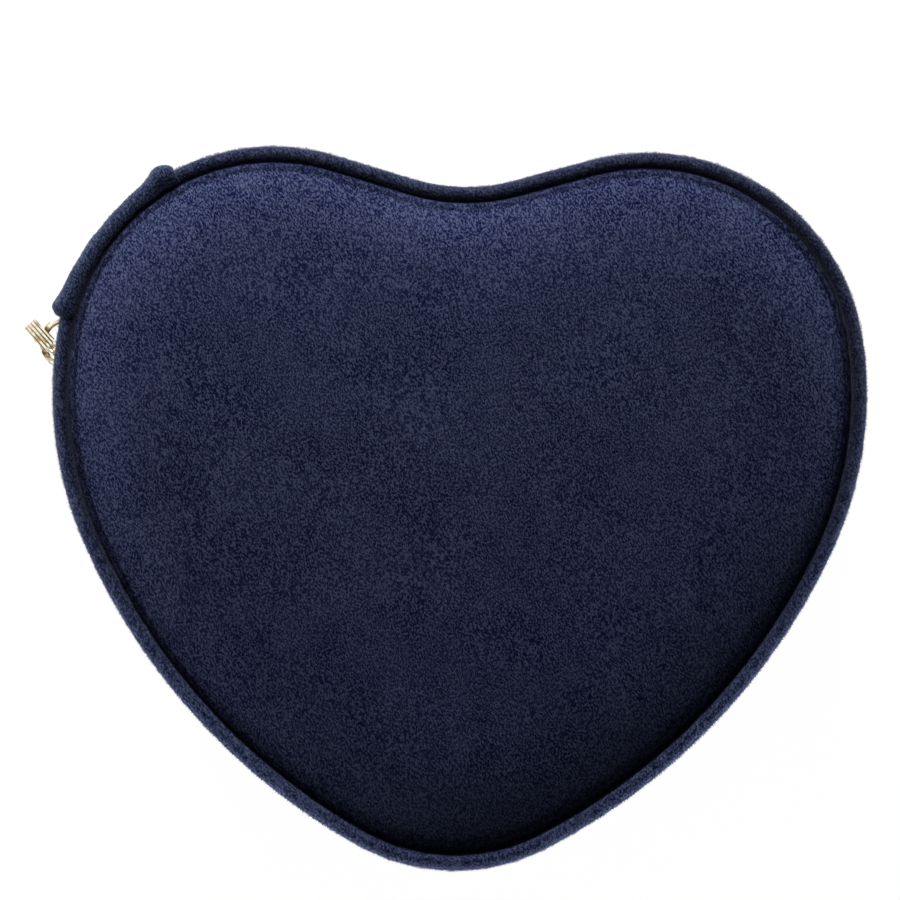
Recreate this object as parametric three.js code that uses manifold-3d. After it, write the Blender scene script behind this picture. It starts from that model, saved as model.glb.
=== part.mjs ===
// A zip-round jewellery box in the shape of a heart: a rigid base and lid of covered board,
// joined by a fabric hinge strip on one lobe and by a zip all the way round the rest.
// Millimetres, +Z up. The origin is the middle of the heart on the face it rests on, the tip
// of the heart points to -Y, and the hinge and the slider are on the -X lobe.

import * as THREE from 'three';
import { mergeVertices } from 'three/addons/utils/BufferGeometryUtils.js';
import Module from 'manifold-3d';

const wasm = await Module();
wasm.setup();

// Rim outline, seen from above: tangent arcs from the tip up to the notch, mirrored in X.
// Angles are the directions of the outward normal, in degrees from +X.
const WIDTH = 150;
const TIP_RADIUS = 36.9;
const SIDE_RADIUS = 116.9;
const FLANK_RADIUS = 69.2;
const FLANK_FROM = -24.2;
const FLANK_TO = 9.3;
const LOBE_RADIUS = 40.2;
const LOBE_TO = 106;
const NOTCH_RADIUS = 34.2;
const STEP = 7.2; // spacing of the outline's points

// Heights
const ZIP_Z = 29;
const ZIP_BAND = 10; // between the two velvet edges
const LID_PIPING_Z = 47;
const BASE_PIPING_Z = 2.3;
const PANEL_EDGE_Z = 46.7; // where the padded panel starts, on the lid board
const TOP_Z = 50;

// Thicknesses, and insets from the rim outline to each layer of the wall
const GAP = 0.3;
const VELVET = 0.9;
const PIPING_RADIUS = 1.5;
const VELVET_IN = 2;
const TAPE_IN = 3.15;
const TAPE = 0.5;
const BOARD_IN = 3.9;
const BOARD = 1.4;
const LINING_IN = 5.6;
const LINING = 0.6;
const PLATE_IN = 3.3; // edge of the top and bottom boards
const BASE_BOARD = 1.8;
const LID_BOARD = 1.5;
const FLOOR_PAD = 1.6;

// Padded panel on the lid
const PAD_EDGE = 0.7; // height of the pad's upright edge
const PAD_SHOULDER = 1.6; // rise of its rounded shoulder
const PAD_SHOULDER_RUN = 0.9; // how quickly the shoulder turns over
const PAD_CROWN_RUN = 27; // from the edge to where the crown is full

// Lining panel and mirror inside the lid
const PANEL_Z = 42.4;
const PANEL_TOP_Z = 44.6;
const MIRROR_IN = 20;
const MIRROR = 1.3;
const MIRROR_POCKET = 1.4;

// Compartments
const TRAY_FLOOR_Z = 5.2;
const DIVIDER = 2.2;
const DIVIDER_HEIGHT = 14.5;
const LOBE_DIVIDER_Y = 22.4;
const TIP_DIVIDER_Y = -21.6;
const ROLL_COUNT = 4;
const ROLL_HEIGHT = 13.6;
const TRAY_EDGE_IN = LINING_IN + LINING + GAP;

// Zip teeth: two rows, clear of the mid-plane so that the slider's wedge can pass
const TOOTH_PITCH = 4;
const TOOTH_WIDTH = 2.1;
const TOOTH_HEAD = 1.5; // width of a tooth at its head
const TOOTH_IN = 2.2;
const TOOTH_DEPTH = 2.4;
const HEAD_CLEAR = 0.6; // from the mid-plane to a tooth's head
const SPINE_FROM = 1.9; // the corded edge that the teeth are clamped on
const SPINE_TO = 3;
const TAPE_SLIP = 3.3; // from the mid-plane to the tape's free edge
const TAPE_REACH = 13; // from the mid-plane to the tape's sewn edge
const LOWER_ZIP_START = 169; // degrees about the centre of the -X flank
const UPPER_ZIP_START = 179; // clear of the parked slider, so that the lid can lift
const ZIP_TUCK = 2; // degrees that the zip's end runs in under the hinge strip

// Hinge strip, in degrees about the centre of the -X lobe, and how its ends stand proud
const STRIP_FROM = 119.5;
const STRIP_TO = 166.5;
const STRIP_IN = 0.9;
const STRIP = 0.8;
const STRIP_WRAP = 0.6;
const STRIP_SPLIT = 0.15;
const STRIP_TURN = 4.6; // below the piping's middle, where the strip leaves the wall
const FOLD_START = 130;
const FOLD_FULL = 3; // degrees from the end where the fold has its full height
const FOLD_RISE = 1.6;
const STRAIGHT_START = 146;

// Slider, crown and pull
const SLIDER_ANGLE = 172.7; // about the centre of the -X flank
const SLIDER_LENGTH = 9.6;
const SLIDER_HALF_HEIGHT = 4.3;
const SLIDER_PLATE = 1.2;
const SLIDER_NOSE = 1.6;
const SLIDER_TAIL = 0.9;
const SINK = 0.2; // how far joined parts run into each other
const OUTER_PLATE_IN = 0.7;
const INNER_PLATE_IN = 4.9;
const LIP_REACH = 0.9;
const LIP_HEIGHT = 1;
const LIP_SHORT = 1.7; // how much shorter than the plates the lips are at each end
const WEDGE_HALF_HEIGHT = 0.3;
const WEDGE_FROM = 1.4;
const WEDGE_TO = 4.2;
const CROWN_HALF_LENGTH = 4;
const CROWN_ROOT_IN = 0.9;
const CROWN_RISE = 3.7;
const CROWN_THICK = 1.1;
const CROWN_BAND = 1.8;
const CROWN_CHAMFER = 0.35;
const PULL_YAW = 50; // how the pull hangs, turned from the direction of travel
const LINK_WIRE = 1.4;
const LINK_WIDTH = 5.8; // between the middles of the side wires
const LINK_OUT = 0.3; // how far its middle is outside the crown's
const LINK_HEIGHT = 6;
const LINK_CORNER = 1.2;
const BAR_WIDTH = 2.6; // the broad bar that the link has on top
const BAR_DEPTH = 1.2;
const BAR_CHAMFER = 0.3;
const BAR_IN = 1.7; // from the crown's middle to its inner end
const EYE_LENGTH = 2.8;
const EYE_WALL = 0.5;
const TAB_LENGTH = 19;
const TAB_TOP_WIDTH = 4.6;
const TAB_WIDTH = 7;
const TAB_THICK = 1.6;
const TAB_NECK = 2.4;
const TAB_NECK_DROP = 0.9;
const TAB_SHOULDER_DROP = 0.6;
const TAB_HOLE = 1.5;

const rad = THREE.MathUtils.degToRad;
const direction = (degrees) => new THREE.Vector2(Math.cos(rad(degrees)), Math.sin(rad(degrees)));

// Finishes
const finish = (name, color, roughness, metalness = 0) =>
  new THREE.MeshStandardMaterial({ name, color, roughness, metalness });
const velvet = finish('velvet', 0x1c2245, 0.95);
const suede = finish('suede_lining', 0x272c4c, 0.9);
const board = finish('greyboard', 0x8f8a80, 0.9);
const foam = finish('foam', 0xd9d6cc, 0.95);
const tapeCloth = finish('zip_tape', 0x1a1f3c, 0.85);
const resin = finish('zip_teeth', 0x20264a, 0.45);
const gold = finish('gold_plate', 0xc9a45a, 0.25, 1);
const silvered = finish('mirror', 0xe6e8ea, 0.05, 1);

// One side of the outline, from the tip to the middle of the notch: arcs, whose radius is
// negative where they are hollow, and a straight between the lobe and the notch
function halfOutline() {
  const flank = new THREE.Vector2(WIDTH / 2 - FLANK_RADIUS, 0);
  const lobe = flank.clone().addScaledVector(direction(FLANK_TO), FLANK_RADIUS - LOBE_RADIUS);
  const side = flank.clone().addScaledVector(direction(FLANK_FROM), FLANK_RADIUS - SIDE_RADIUS);
  const tipDrop = Math.sqrt((SIDE_RADIUS - TIP_RADIUS) ** 2 - side.x ** 2);
  const tip = new THREE.Vector2(0, side.y - tipDrop);
  const u = direction(LOBE_TO);
  const notch = new THREE.Vector2(0, (u.dot(lobe) + LOBE_RADIUS + NOTCH_RADIUS) / u.y);
  const lobeEnd = lobe.clone().addScaledVector(u, LOBE_RADIUS);
  const run = notch.clone().addScaledVector(u, -NOTCH_RADIUS).sub(lobeEnd).length();
  const sideFrom = THREE.MathUtils.radToDeg(Math.atan2(tip.y - side.y, tip.x - side.x));
  return [
    { name: 'tip', centre: tip, radius: TIP_RADIUS, from: -90, to: sideFrom },
    { name: 'side', centre: side, radius: SIDE_RADIUS, from: sideFrom, to: FLANK_FROM },
    { name: 'flank', centre: flank, radius: FLANK_RADIUS, from: FLANK_FROM, to: FLANK_TO },
    { name: 'lobe', centre: lobe, radius: LOBE_RADIUS, from: FLANK_TO, to: LOBE_TO },
    { name: 'straight', centre: lobe.clone(), radius: LOBE_RADIUS, from: LOBE_TO, to: LOBE_TO, run },
    { name: 'notch', centre: notch, radius: -NOTCH_RADIUS, from: LOBE_TO, to: 90 },
  ];
}

// The whole outline, counterclockwise from the tip, centred on the origin
function wholeOutline() {
  const half = halfOutline();
  const lobe = half.find((piece) => piece.name === 'lobe');
  const tip = half.find((piece) => piece.name === 'tip');
  const top = lobe.centre.y + LOBE_RADIUS;
  const bottom = tip.centre.y - TIP_RADIUS;
  half.forEach((piece) => {
    piece.centre.y -= (top + bottom) / 2;
  });
  const mirrored = half.map((piece) => ({
    ...piece,
    name: `left_${piece.name}`,
    centre: new THREE.Vector2(-piece.centre.x, piece.centre.y),
    from: 180 - piece.to,
    to: 180 - piece.from,
    backwards: true,
  }));
  return [...half, ...mirrored.reverse()];
}

const OUTLINE = wholeOutline();
const findPiece = (name) => OUTLINE.find((piece) => piece.name === name);
const pieceLength = (piece) => piece.run ?? Math.abs(rad(piece.to - piece.from) * piece.radius);

// A point of the rim outline and its outward normal, by a piece of it and a share of its length
function rimAt(piece, share) {
  const normal = direction(piece.from + (piece.to - piece.from) * share);
  const point = piece.centre.clone().addScaledVector(normal, piece.radius);
  if (piece.run) {
    const along = new THREE.Vector2(-normal.y, normal.x);
    point.addScaledVector(along, piece.run * (piece.backwards ? share - 1 : share));
  }
  return { point, normal };
}

// The same by the direction of the normal on an arc
const rimAtAngle = (piece, degrees) => rimAt(piece, (degrees - piece.from) / (piece.to - piece.from));

// Points along one piece, without its last
function alongPiece(piece) {
  const count = Math.max(1, Math.round(pieceLength(piece) / STEP));
  return Array.from({ length: count }, (_, i) => ({ piece, share: i / count, ...rimAt(piece, i / count) }));
}

const ROUND = OUTLINE.flatMap(alongPiece);

// A point of the wall: inset from the rim, at a height
function wallPoint({ point, normal }, inset, z) {
  return new THREE.Vector3(point.x - inset * normal.x, point.y - inset * normal.y, z);
}

// A mesh from rings of points: each ring is a closed section, and the rings follow one another.
// The last ring joins the first, or both are closed with a cap.
function skin(rings, closed, capOutline = null) {
  const size = rings[0].length;
  const index = [];
  const last = closed ? rings.length : rings.length - 1;
  for (let i = 0; i < last; i += 1) {
    const a = i * size;
    const b = ((i + 1) % rings.length) * size;
    for (let j = 0; j < size; j += 1) {
      const k = (j + 1) % size;
      index.push(a + j, b + j, b + k, a + j, b + k, a + k);
    }
  }
  if (!closed) {
    const far = (rings.length - 1) * size;
    THREE.ShapeUtils.triangulateShape(capOutline, []).forEach(([p, q, r]) => {
      index.push(p, q, r, far + r, far + q, far + p);
    });
  }
  const geometry = new THREE.BufferGeometry();
  geometry.setFromPoints(rings.flat());
  geometry.setIndex(index);
  return geometry;
}

// A band all the way round the heart. The profile is a list of [inset, height], up the outer
// side and down the inner one.
function bandRound(profile) {
  return skin(ROUND.map((at) => profile.map(([inset, z]) => wallPoint(at, inset, z))), true);
}

// A band along part of the outline, whose profile may change along the way
function bandAlong(stations, profileAt) {
  const profiles = stations.map((at, i) => profileAt(at, i));
  const rings = stations.map((at, i) => profiles[i].map(([inset, z]) => wallPoint(at, inset, z)));
  const cap = profiles[0].map(([inset, z]) => new THREE.Vector2(-inset, z));
  return skin(rings, false, cap);
}

// A heart-shaped plate through levels of [inset, height], from the middle of its lower face,
// out round its edge and in to the middle of its upper face
function plate(levels) {
  const rings = levels.map(([inset, z]) => ROUND.map((at) => wallPoint(at, inset, z)));
  const size = ROUND.length;
  const index = [];
  for (let i = 0; i + 1 < rings.length; i += 1) {
    for (let j = 0; j < size; j += 1) {
      const k = (j + 1) % size;
      const a = i * size;
      const b = a + size;
      index.push(a + j, a + k, b + k, a + j, b + k, b + j);
    }
  }
  const cap = (ring, base, up) => {
    const flat = ring.map((p) => new THREE.Vector2(p.x, p.y));
    THREE.ShapeUtils.triangulateShape(flat, []).forEach(([p, q, r]) => {
      index.push(...(up ? [base + p, base + q, base + r] : [base + r, base + q, base + p]));
    });
  };
  cap(rings[0], 0, false);
  cap(rings[rings.length - 1], (rings.length - 1) * size, true);
  const geometry = new THREE.BufferGeometry();
  geometry.setFromPoints(rings.flat());
  geometry.setIndex(index);
  return geometry;
}

// A heart plate of even thickness
const slab = (inset, from, to) => plate([[inset, from], [inset, to]]);

// Joining and cutting
function toSolid(geometry) {
  const bare = geometry.clone();
  bare.deleteAttribute('normal');
  bare.deleteAttribute('uv');
  const merged = mergeVertices(bare, 1e-4);
  const vertProperties = new Float32Array(merged.attributes.position.array);
  const triVerts = new Uint32Array(merged.index.array);
  return new wasm.Manifold(new wasm.Mesh({ numProp: 3, vertProperties, triVerts }));
}

function toGeometry(solid) {
  const { vertProperties, triVerts } = solid.getMesh();
  const geometry = new THREE.BufferGeometry();
  geometry.setAttribute('position', new THREE.BufferAttribute(new Float32Array(vertProperties), 3));
  geometry.setIndex(new THREE.BufferAttribute(new Uint32Array(triVerts), 1));
  return geometry;
}

const joinAll = (geometries) =>
  toGeometry(geometries.map(toSolid).reduce((whole, piece) => whole.add(piece)));

const box = (x0, x1, y0, y1, z0, z1) =>
  new THREE.BoxGeometry(x1 - x0, y1 - y0, z1 - z0)
    .translate((x0 + x1) / 2, (y0 + y1) / 2, (z0 + z1) / 2);

function mesh(name, geometry, material) {
  const part = new THREE.Mesh(geometry, material);
  part.name = name;
  return part;
}

// Piping: a velvet-covered cord round the rim
function piping(z) {
  const sides = 8;
  const ring = Array.from({ length: sides }, (_, i) => {
    const turn = rad((360 * i) / sides);
    return [PIPING_RADIUS * (1 - Math.cos(turn)), z + PIPING_RADIUS * Math.sin(turn)];
  });
  return bandRound(ring);
}

// Upright layer of the wall
const wall = (inset, thickness, from, to) =>
  bandRound([[inset, from], [inset, to], [inset + thickness, to], [inset + thickness, from]]);

// Lining of a wall, with a lip turned out over the edge of the board at the zip
function liningWithLip(from, to, lipAtTop) {
  const back = LINING_IN + LINING;
  const lipIn = TAPE_IN + TAPE + GAP;
  const lip = lipAtTop ? to - LINING : from + LINING;
  return lipAtTop
    ? bandRound([[LINING_IN, from], [LINING_IN, lip], [lipIn, lip], [lipIn, to], [back, to], [back, from]])
    : bandRound([[lipIn, from], [lipIn, lip], [LINING_IN, lip], [LINING_IN, to], [back, to], [back, from]]);
}

// Height of the padded panel at an inset: a rounded shoulder and then a slow crown
function panelZ(inset) {
  const run = inset - PLATE_IN;
  const foot = PANEL_EDGE_Z + PAD_EDGE;
  const shoulder = PAD_SHOULDER * (1 - Math.exp(-run / PAD_SHOULDER_RUN));
  const crown = (TOP_Z - foot - PAD_SHOULDER) * (1 - (1 - Math.min(1, run / PAD_CROWN_RUN)) ** 2);
  return foot + shoulder + crown;
}

function lidTopVelvet() {
  const outside = [3.3, 3.8, 4.8, 6.8, 11, 18, 29].map((inset) => [inset, panelZ(inset)]);
  const inside = [29, 11, 6.8].map((inset) => [inset, panelZ(inset) - VELVET]);
  const back = PLATE_IN + VELVET;
  const skirt = [[back, panelZ(4.8) - VELVET], [back, PANEL_EDGE_Z], [PLATE_IN, PANEL_EDGE_Z]];
  return plate([...inside, ...skirt, ...outside]);
}

function lidFoam() {
  const edge = PLATE_IN + VELVET + GAP;
  const top = [7, 11, 29].map((inset) => [inset, panelZ(inset) - VELVET - GAP]);
  return plate([[edge, PANEL_EDGE_Z], [edge, panelZ(4.8) - VELVET - GAP], ...top]);
}

// The lining panel has a pocket in its lower face, where the mirror is glued
function lidLiningPanel() {
  const pocketZ = PANEL_Z + MIRROR_POCKET;
  const pocket = [[MIRROR_IN, pocketZ], [MIRROR_IN, PANEL_Z]];
  return plate([...pocket, [LINING_IN, PANEL_Z], [LINING_IN, PANEL_TOP_Z]]);
}

// The zip runs counterclockwise from below the hinge strip to its upper end. Its stretches are
// the pieces of the outline that it covers, each from a share to a share of its length.
function zipStretches(startAngle) {
  const first = findPiece('left_flank');
  const last = findPiece('left_lobe');
  const at = OUTLINE.indexOf(first);
  const shareOn = (piece, degrees) => (degrees - piece.from) / (piece.to - piece.from);
  return [...OUTLINE.slice(at), ...OUTLINE.slice(0, at)].map((piece) => ({
    piece,
    from: piece === first ? shareOn(piece, startAngle) : 0,
    to: piece === last ? shareOn(piece, STRIP_FROM + ZIP_TUCK) : 1,
  }));
}

// The zip's tape follows the same points as the walls that it is sewn between
function tapeStations(startAngle) {
  return zipStretches(startAngle).flatMap(({ piece, from, to }) => {
    const inner = ROUND.filter((at) => at.piece === piece && at.share > from && at.share < to);
    const opens = piece.name === 'left_flank' || inner.length === 0 || from === 0;
    const start = opens ? [rimAt(piece, from)] : [];
    const end = to < 1 ? [rimAt(piece, to)] : [];
    return [...start, ...inner, ...end];
  });
}

// Points a set distance apart along the zip
function toothStations(startAngle, step, start) {
  const stations = [];
  let next = start;
  let done = 0;
  zipStretches(startAngle).forEach(({ piece, from, to }) => {
    const length = pieceLength(piece) * (to - from);
    while (next <= done + length) {
      stations.push(rimAt(piece, from + ((to - from) * (next - done)) / length));
      next += step;
    }
    done += length;
  });
  return stations;
}

// The +1 row is sewn to the lid and the -1 row to the base
function zipTape(row, startAngle) {
  const near = ZIP_Z + row * TAPE_SLIP;
  const far = ZIP_Z + row * TAPE_REACH;
  const [low, high] = row > 0 ? [near, far] : [far, near];
  const profile = [[TAPE_IN, low], [TAPE_IN, high], [TAPE_IN + TAPE, high], [TAPE_IN + TAPE, low]];
  return bandAlong(tapeStations(startAngle), () => profile);
}

// A row of teeth on its corded edge, as a comb: columns along the zip are either spine alone
// or spine and tooth, and only the faces between full and empty cells are made.
function zipTeeth(row, startAngle) {
  const middles = toothStations(startAngle, TOOTH_PITCH, row > 0 ? TOOTH_PITCH : TOOTH_PITCH / 2);
  const shift = (at, along) => {
    const tangent = new THREE.Vector2(-at.normal.y, at.normal.x);
    return { point: at.point.clone().addScaledVector(tangent, along), normal: at.normal };
  };
  const levels = [SPINE_TO, SPINE_FROM, HEAD_CLEAR].map((z) => ZIP_Z + row * z);
  const halves = [TOOTH_WIDTH / 2, TOOTH_WIDTH / 2, TOOTH_HEAD / 2];
  const insets = [TOOTH_IN, TOOTH_IN + TOOTH_DEPTH];
  const points = [];
  const index = [];
  // Corner order of one station: level by level, front then back
  const addStation = (middle, sign) => {
    levels.forEach((z, level) => {
      const at = shift(middle, sign * halves[level]);
      insets.forEach((inset) => points.push(wallPoint(at, inset, z)));
    });
    return points.length / 6 - 1;
  };
  const quad = (a, b, c, d) => {
    const flip = row > 0;
    index.push(...(flip ? [a, c, b, a, d, c] : [a, b, c, a, c, d]));
  };
  const corner = (station, level, back) => station * 6 + level * 2 + back;
  // Front, back, foot and head of the cells of one column, from station p to station q
  const column = (p, q, top) => {
    for (let level = 0; level < top; level += 1) {
      quad(corner(p, level, 0), corner(q, level, 0), corner(q, level + 1, 0), corner(p, level + 1, 0));
      quad(corner(q, level, 1), corner(p, level, 1), corner(p, level + 1, 1), corner(q, level + 1, 1));
    }
    quad(corner(p, 0, 1), corner(q, 0, 1), corner(q, 0, 0), corner(p, 0, 0));
    quad(corner(p, top, 0), corner(q, top, 0), corner(q, top, 1), corner(p, top, 1));
  };
  // The end face of a column, over the levels given, looking back (-) or ahead (+)
  const end = (s, low, top, ahead) => {
    for (let level = low; level < top; level += 1) {
      const [front, back] = ahead ? [0, 1] : [1, 0];
      const [a, b] = [corner(s, level, front), corner(s, level, back)];
      quad(a, b, corner(s, level + 1, back), corner(s, level + 1, front));
    }
  };
  let before = null;
  middles.forEach((middle, i) => {
    const p = addStation(middle, -1);
    const q = addStation(middle, 1);
    if (before === null) {
      end(p, 0, 1, false);
    } else {
      column(before, p, 1);
    }
    column(p, q, 2);
    end(p, 1, 2, false);
    end(q, 1, 2, true);
    if (i === middles.length - 1) {
      end(q, 0, 1, true);
    }
    before = q;
  });
  const geometry = new THREE.BufferGeometry();
  geometry.setFromPoints(points);
  geometry.setIndex(index);
  return geometry;
}

// How far the hinge strip stands out beyond its middle: it runs straight on at its lower end
// and is folded back on itself at its upper end
function stripFlare(degrees) {
  const straight = Math.max(0, degrees - STRAIGHT_START);
  const lower = Math.min(FOLD_RISE, LOBE_RADIUS * (1 / Math.cos(rad(straight)) - 1));
  const fold = THREE.MathUtils.smoothstep(FOLD_START - degrees, 0, FOLD_START - STRIP_FROM - FOLD_FULL);
  return lower + FOLD_RISE * fold;
}

// One leaf of the hinge strip: flat against the wall, then round the outside of the piping
function hingeLeaf(pipingZ, side) {
  const lobe = findPiece('left_lobe');
  const count = 16;
  const turn = (STRIP_TO - STRIP_FROM) / count;
  const angles = Array.from({ length: count + 1 }, (_, i) => STRIP_FROM + turn * i);
  const wrap = side > 0 ? [-50, -20, 10, 40, 75] : [50, 20, 0];
  const profileAt = (_, i) => {
    const flare = stripFlare(angles[i]);
    const round = (radius, proud = 0) => wrap.map((turn) => {
      const t = rad(turn);
      const reach = radius + proud * Math.cos(t);
      return [PIPING_RADIUS - reach * Math.cos(t), pipingZ + reach * Math.sin(t)];
    });
    const wallEnd = pipingZ - side * STRIP_TURN;
    const split = ZIP_Z + side * STRIP_SPLIT;
    const back = STRIP_IN + STRIP;
    const outer = [[STRIP_IN - flare, split], [STRIP_IN - flare, wallEnd],
      ...round(PIPING_RADIUS + GAP + STRIP_WRAP, flare)];
    const inner = [...round(PIPING_RADIUS + GAP).reverse(), [back, wallEnd], [back, split]];
    const loop = [...outer, ...inner];
    return side > 0 ? loop : loop.reverse();
  };
  return bandAlong(angles.map((degrees) => rimAtAngle(lobe, degrees)), profileAt);
}

// Everything inside the walls is trimmed to the heart of the tray
const trayShape = () => toSolid(slab(TRAY_EDGE_IN, TRAY_FLOOR_Z, ZIP_Z));
const trimToTray = (geometry) => toGeometry(toSolid(geometry).intersect(trayShape()));

// A covered board standing on the floor, with a rounded top, along X
function dividerBar(length, height) {
  const shape = new THREE.Shape();
  const r = DIVIDER / 2;
  shape.moveTo(-r, 0);
  shape.lineTo(r, 0);
  shape.lineTo(r, height - r);
  shape.absarc(0, height - r, r, 0, Math.PI);
  const bar = new THREE.ExtrudeGeometry(shape, { depth: length, bevelEnabled: false, curveSegments: 4 });
  return bar.translate(0, 0, -length / 2).rotateX(Math.PI / 2).rotateZ(Math.PI / 2);
}

const crossDivider = (y) => trimToTray(dividerBar(WIDTH, DIVIDER_HEIGHT).translate(0, y, TRAY_FLOOR_Z));

function notchDivider() {
  const notch = findPiece('notch');
  const far = notch.centre.y - NOTCH_RADIUS - TRAY_EDGE_IN;
  const near = LOBE_DIVIDER_Y + DIVIDER / 2 + GAP;
  const bar = dividerBar(far - near, DIVIDER_HEIGHT).rotateZ(Math.PI / 2);
  return bar.translate(0, (far + near) / 2, TRAY_FLOOR_Z);
}

// A foam roll covered in suede, flat underneath and round on top
function ringRoll(number) {
  const from = TIP_DIVIDER_Y + DIVIDER / 2 + GAP;
  const to = LOBE_DIVIDER_Y - DIVIDER / 2 - GAP;
  const pitch = (to - from + GAP) / ROLL_COUNT;
  const half = (pitch - GAP) / 2;
  const y = from + half + pitch * number;
  const foot = 1.2;
  const shape = new THREE.Shape();
  shape.moveTo(-half + foot, 0);
  shape.lineTo(half - foot, 0);
  shape.lineTo(half, foot);
  shape.lineTo(half, ROLL_HEIGHT - half);
  shape.absarc(0, ROLL_HEIGHT - half, half, 0, Math.PI);
  shape.lineTo(-half, foot);
  const roll = new THREE.ExtrudeGeometry(shape, { depth: WIDTH, bevelEnabled: false, curveSegments: 8 });
  roll.translate(0, 0, -WIDTH / 2).rotateX(Math.PI / 2).rotateZ(Math.PI / 2);
  return trimToTray(roll.translate(0, y, TRAY_FLOOR_Z));
}

// Slider, in its own axes: X along its travel, Y inwards from the rim, Z up from the mid-plane
function sliderPlate(inset) {
  const half = SLIDER_LENGTH / 2;
  const nose = SLIDER_NOSE;
  const tail = SLIDER_TAIL;
  const shape = new THREE.Shape();
  shape.moveTo(-half, -SLIDER_HALF_HEIGHT + tail);
  shape.lineTo(-half + tail, -SLIDER_HALF_HEIGHT);
  shape.lineTo(half - nose, -SLIDER_HALF_HEIGHT);
  shape.quadraticCurveTo(half, -SLIDER_HALF_HEIGHT, half, -SLIDER_HALF_HEIGHT + nose);
  shape.lineTo(half, SLIDER_HALF_HEIGHT - nose);
  shape.quadraticCurveTo(half, SLIDER_HALF_HEIGHT, half - nose, SLIDER_HALF_HEIGHT);
  shape.lineTo(-half + tail, SLIDER_HALF_HEIGHT);
  shape.lineTo(-half, SLIDER_HALF_HEIGHT - tail);
  const settings = { depth: SLIDER_PLATE, bevelEnabled: false, curveSegments: 4 };
  const flat = new THREE.ExtrudeGeometry(shape, settings);
  return flat.rotateX(Math.PI / 2).translate(0, inset + SLIDER_PLATE, 0);
}

function sliderLips() {
  const half = SLIDER_LENGTH / 2 - LIP_SHORT;
  const low = SLIDER_HALF_HEIGHT - LIP_HEIGHT;
  const outer = OUTER_PLATE_IN + SLIDER_PLATE;
  const sides = [[low, SLIDER_HALF_HEIGHT], [-SLIDER_HALF_HEIGHT, -low]];
  return sides.flatMap(([z0, z1]) => [
    box(-half, half, outer - SINK, outer + LIP_REACH, z0, z1),
    box(-half, half, INNER_PLATE_IN - LIP_REACH, INNER_PLATE_IN + SINK, z0, z1),
  ]);
}

// A rectangle about the origin with its corners cut, counterclockwise
function chamfered(a, b, cut) {
  const upper = [[a, b - cut], [a - cut, b], [-a + cut, b], [-a, b - cut]];
  return [...upper, ...upper.map(([across, up]) => [-across, -up])];
}

function crownArch() {
  const count = 12;
  const section = chamfered(CROWN_THICK / 2, CROWN_BAND / 2, CROWN_CHAMFER);
  const rings = Array.from({ length: count + 1 }, (_, i) => {
    const turn = (Math.PI * i) / count;
    const x = -CROWN_HALF_LENGTH * Math.cos(turn);
    const y = CROWN_ROOT_IN - CROWN_RISE * Math.sin(turn);
    const out = new THREE.Vector2(-Math.cos(turn) * CROWN_RISE, -Math.sin(turn) * CROWN_HALF_LENGTH);
    out.normalize();
    return section.map(([across, up]) => new THREE.Vector3(x + out.x * across, y + out.y * across, up));
  });
  const cap = section.map(([across, up]) => new THREE.Vector2(across, up));
  return skin(rings, false, cap);
}

function sliderBody() {
  const from = OUTER_PLATE_IN + SLIDER_PLATE - SINK;
  const to = INNER_PLATE_IN + SINK;
  const wedge = box(WEDGE_FROM, WEDGE_TO, from, to, -WEDGE_HALF_HEIGHT, WEDGE_HALF_HEIGHT);
  const plates = [sliderPlate(OUTER_PLATE_IN), sliderPlate(INNER_PLATE_IN)];
  return joinAll([...plates, ...sliderLips(), wedge, crownArch()]);
}

// Pull, in its own axes: X across it, Y through its thickness, Z up from the crown's middle
const LINK_TOP = CROWN_BAND / 2 + GAP + LINK_WIRE / 2;
const EYE_Z = LINK_TOP - LINK_HEIGHT;

// A rounded rectangle of wire round the crown
function linkWire() {
  const corners = [[1, 1], [-1, 1], [-1, -1], [1, -1]];
  const sides = 6;
  const path = corners.flatMap(([sx, sz], quarter) => {
    const cx = sx * (LINK_WIDTH / 2 - LINK_CORNER) - LINK_OUT;
    const cz = LINK_TOP - LINK_HEIGHT / 2 + sz * (LINK_HEIGHT / 2 - LINK_CORNER);
    return [0, 30, 60, 90].map((turn) => {
      const out = direction(quarter * 90 + turn);
      return { x: cx + LINK_CORNER * out.x, z: cz + LINK_CORNER * out.y, out };
    });
  });
  const rings = path.map(({ x, z, out }) => Array.from({ length: sides }, (_, i) => {
    const turn = rad((360 * i) / sides);
    const reach = (LINK_WIRE / 2) * Math.cos(turn);
    return new THREE.Vector3(x + out.x * reach, -(LINK_WIRE / 2) * Math.sin(turn), z + out.y * reach);
  }));
  return skin(rings, true);
}

// The bar is a little shallower than the wire, and ends just inside its outer side
function linkBar() {
  const from = -LINK_OUT - LINK_WIDTH / 2 - LINK_WIRE / 2 + SINK / 2;
  const section = chamfered(BAR_WIDTH / 2, BAR_DEPTH / 2, BAR_CHAMFER);
  const shape = new THREE.Shape(section.map(([across, up]) => new THREE.Vector2(across, up)));
  const bar = new THREE.ExtrudeGeometry(shape, { depth: BAR_IN - from, bevelEnabled: false });
  return bar.rotateX(Math.PI / 2).rotateZ(Math.PI / 2).translate(from, 0, LINK_TOP);
}

const pullLink = () => joinAll([linkWire(), linkBar()]);

// The eye rolled round the lower wire of the link
function tabEye() {
  const inner = LINK_WIRE / 2 + GAP;
  const outer = inner + EYE_WALL;
  const half = EYE_LENGTH / 2;
  const corners = [[inner, -half], [outer, -half], [outer, half], [inner, half], [inner, -half]];
  const profile = corners.map(([r, y]) => new THREE.Vector2(r, y));
  return new THREE.LatheGeometry(profile, 16).rotateZ(Math.PI / 2).translate(0, 0, EYE_Z);
}

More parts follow.
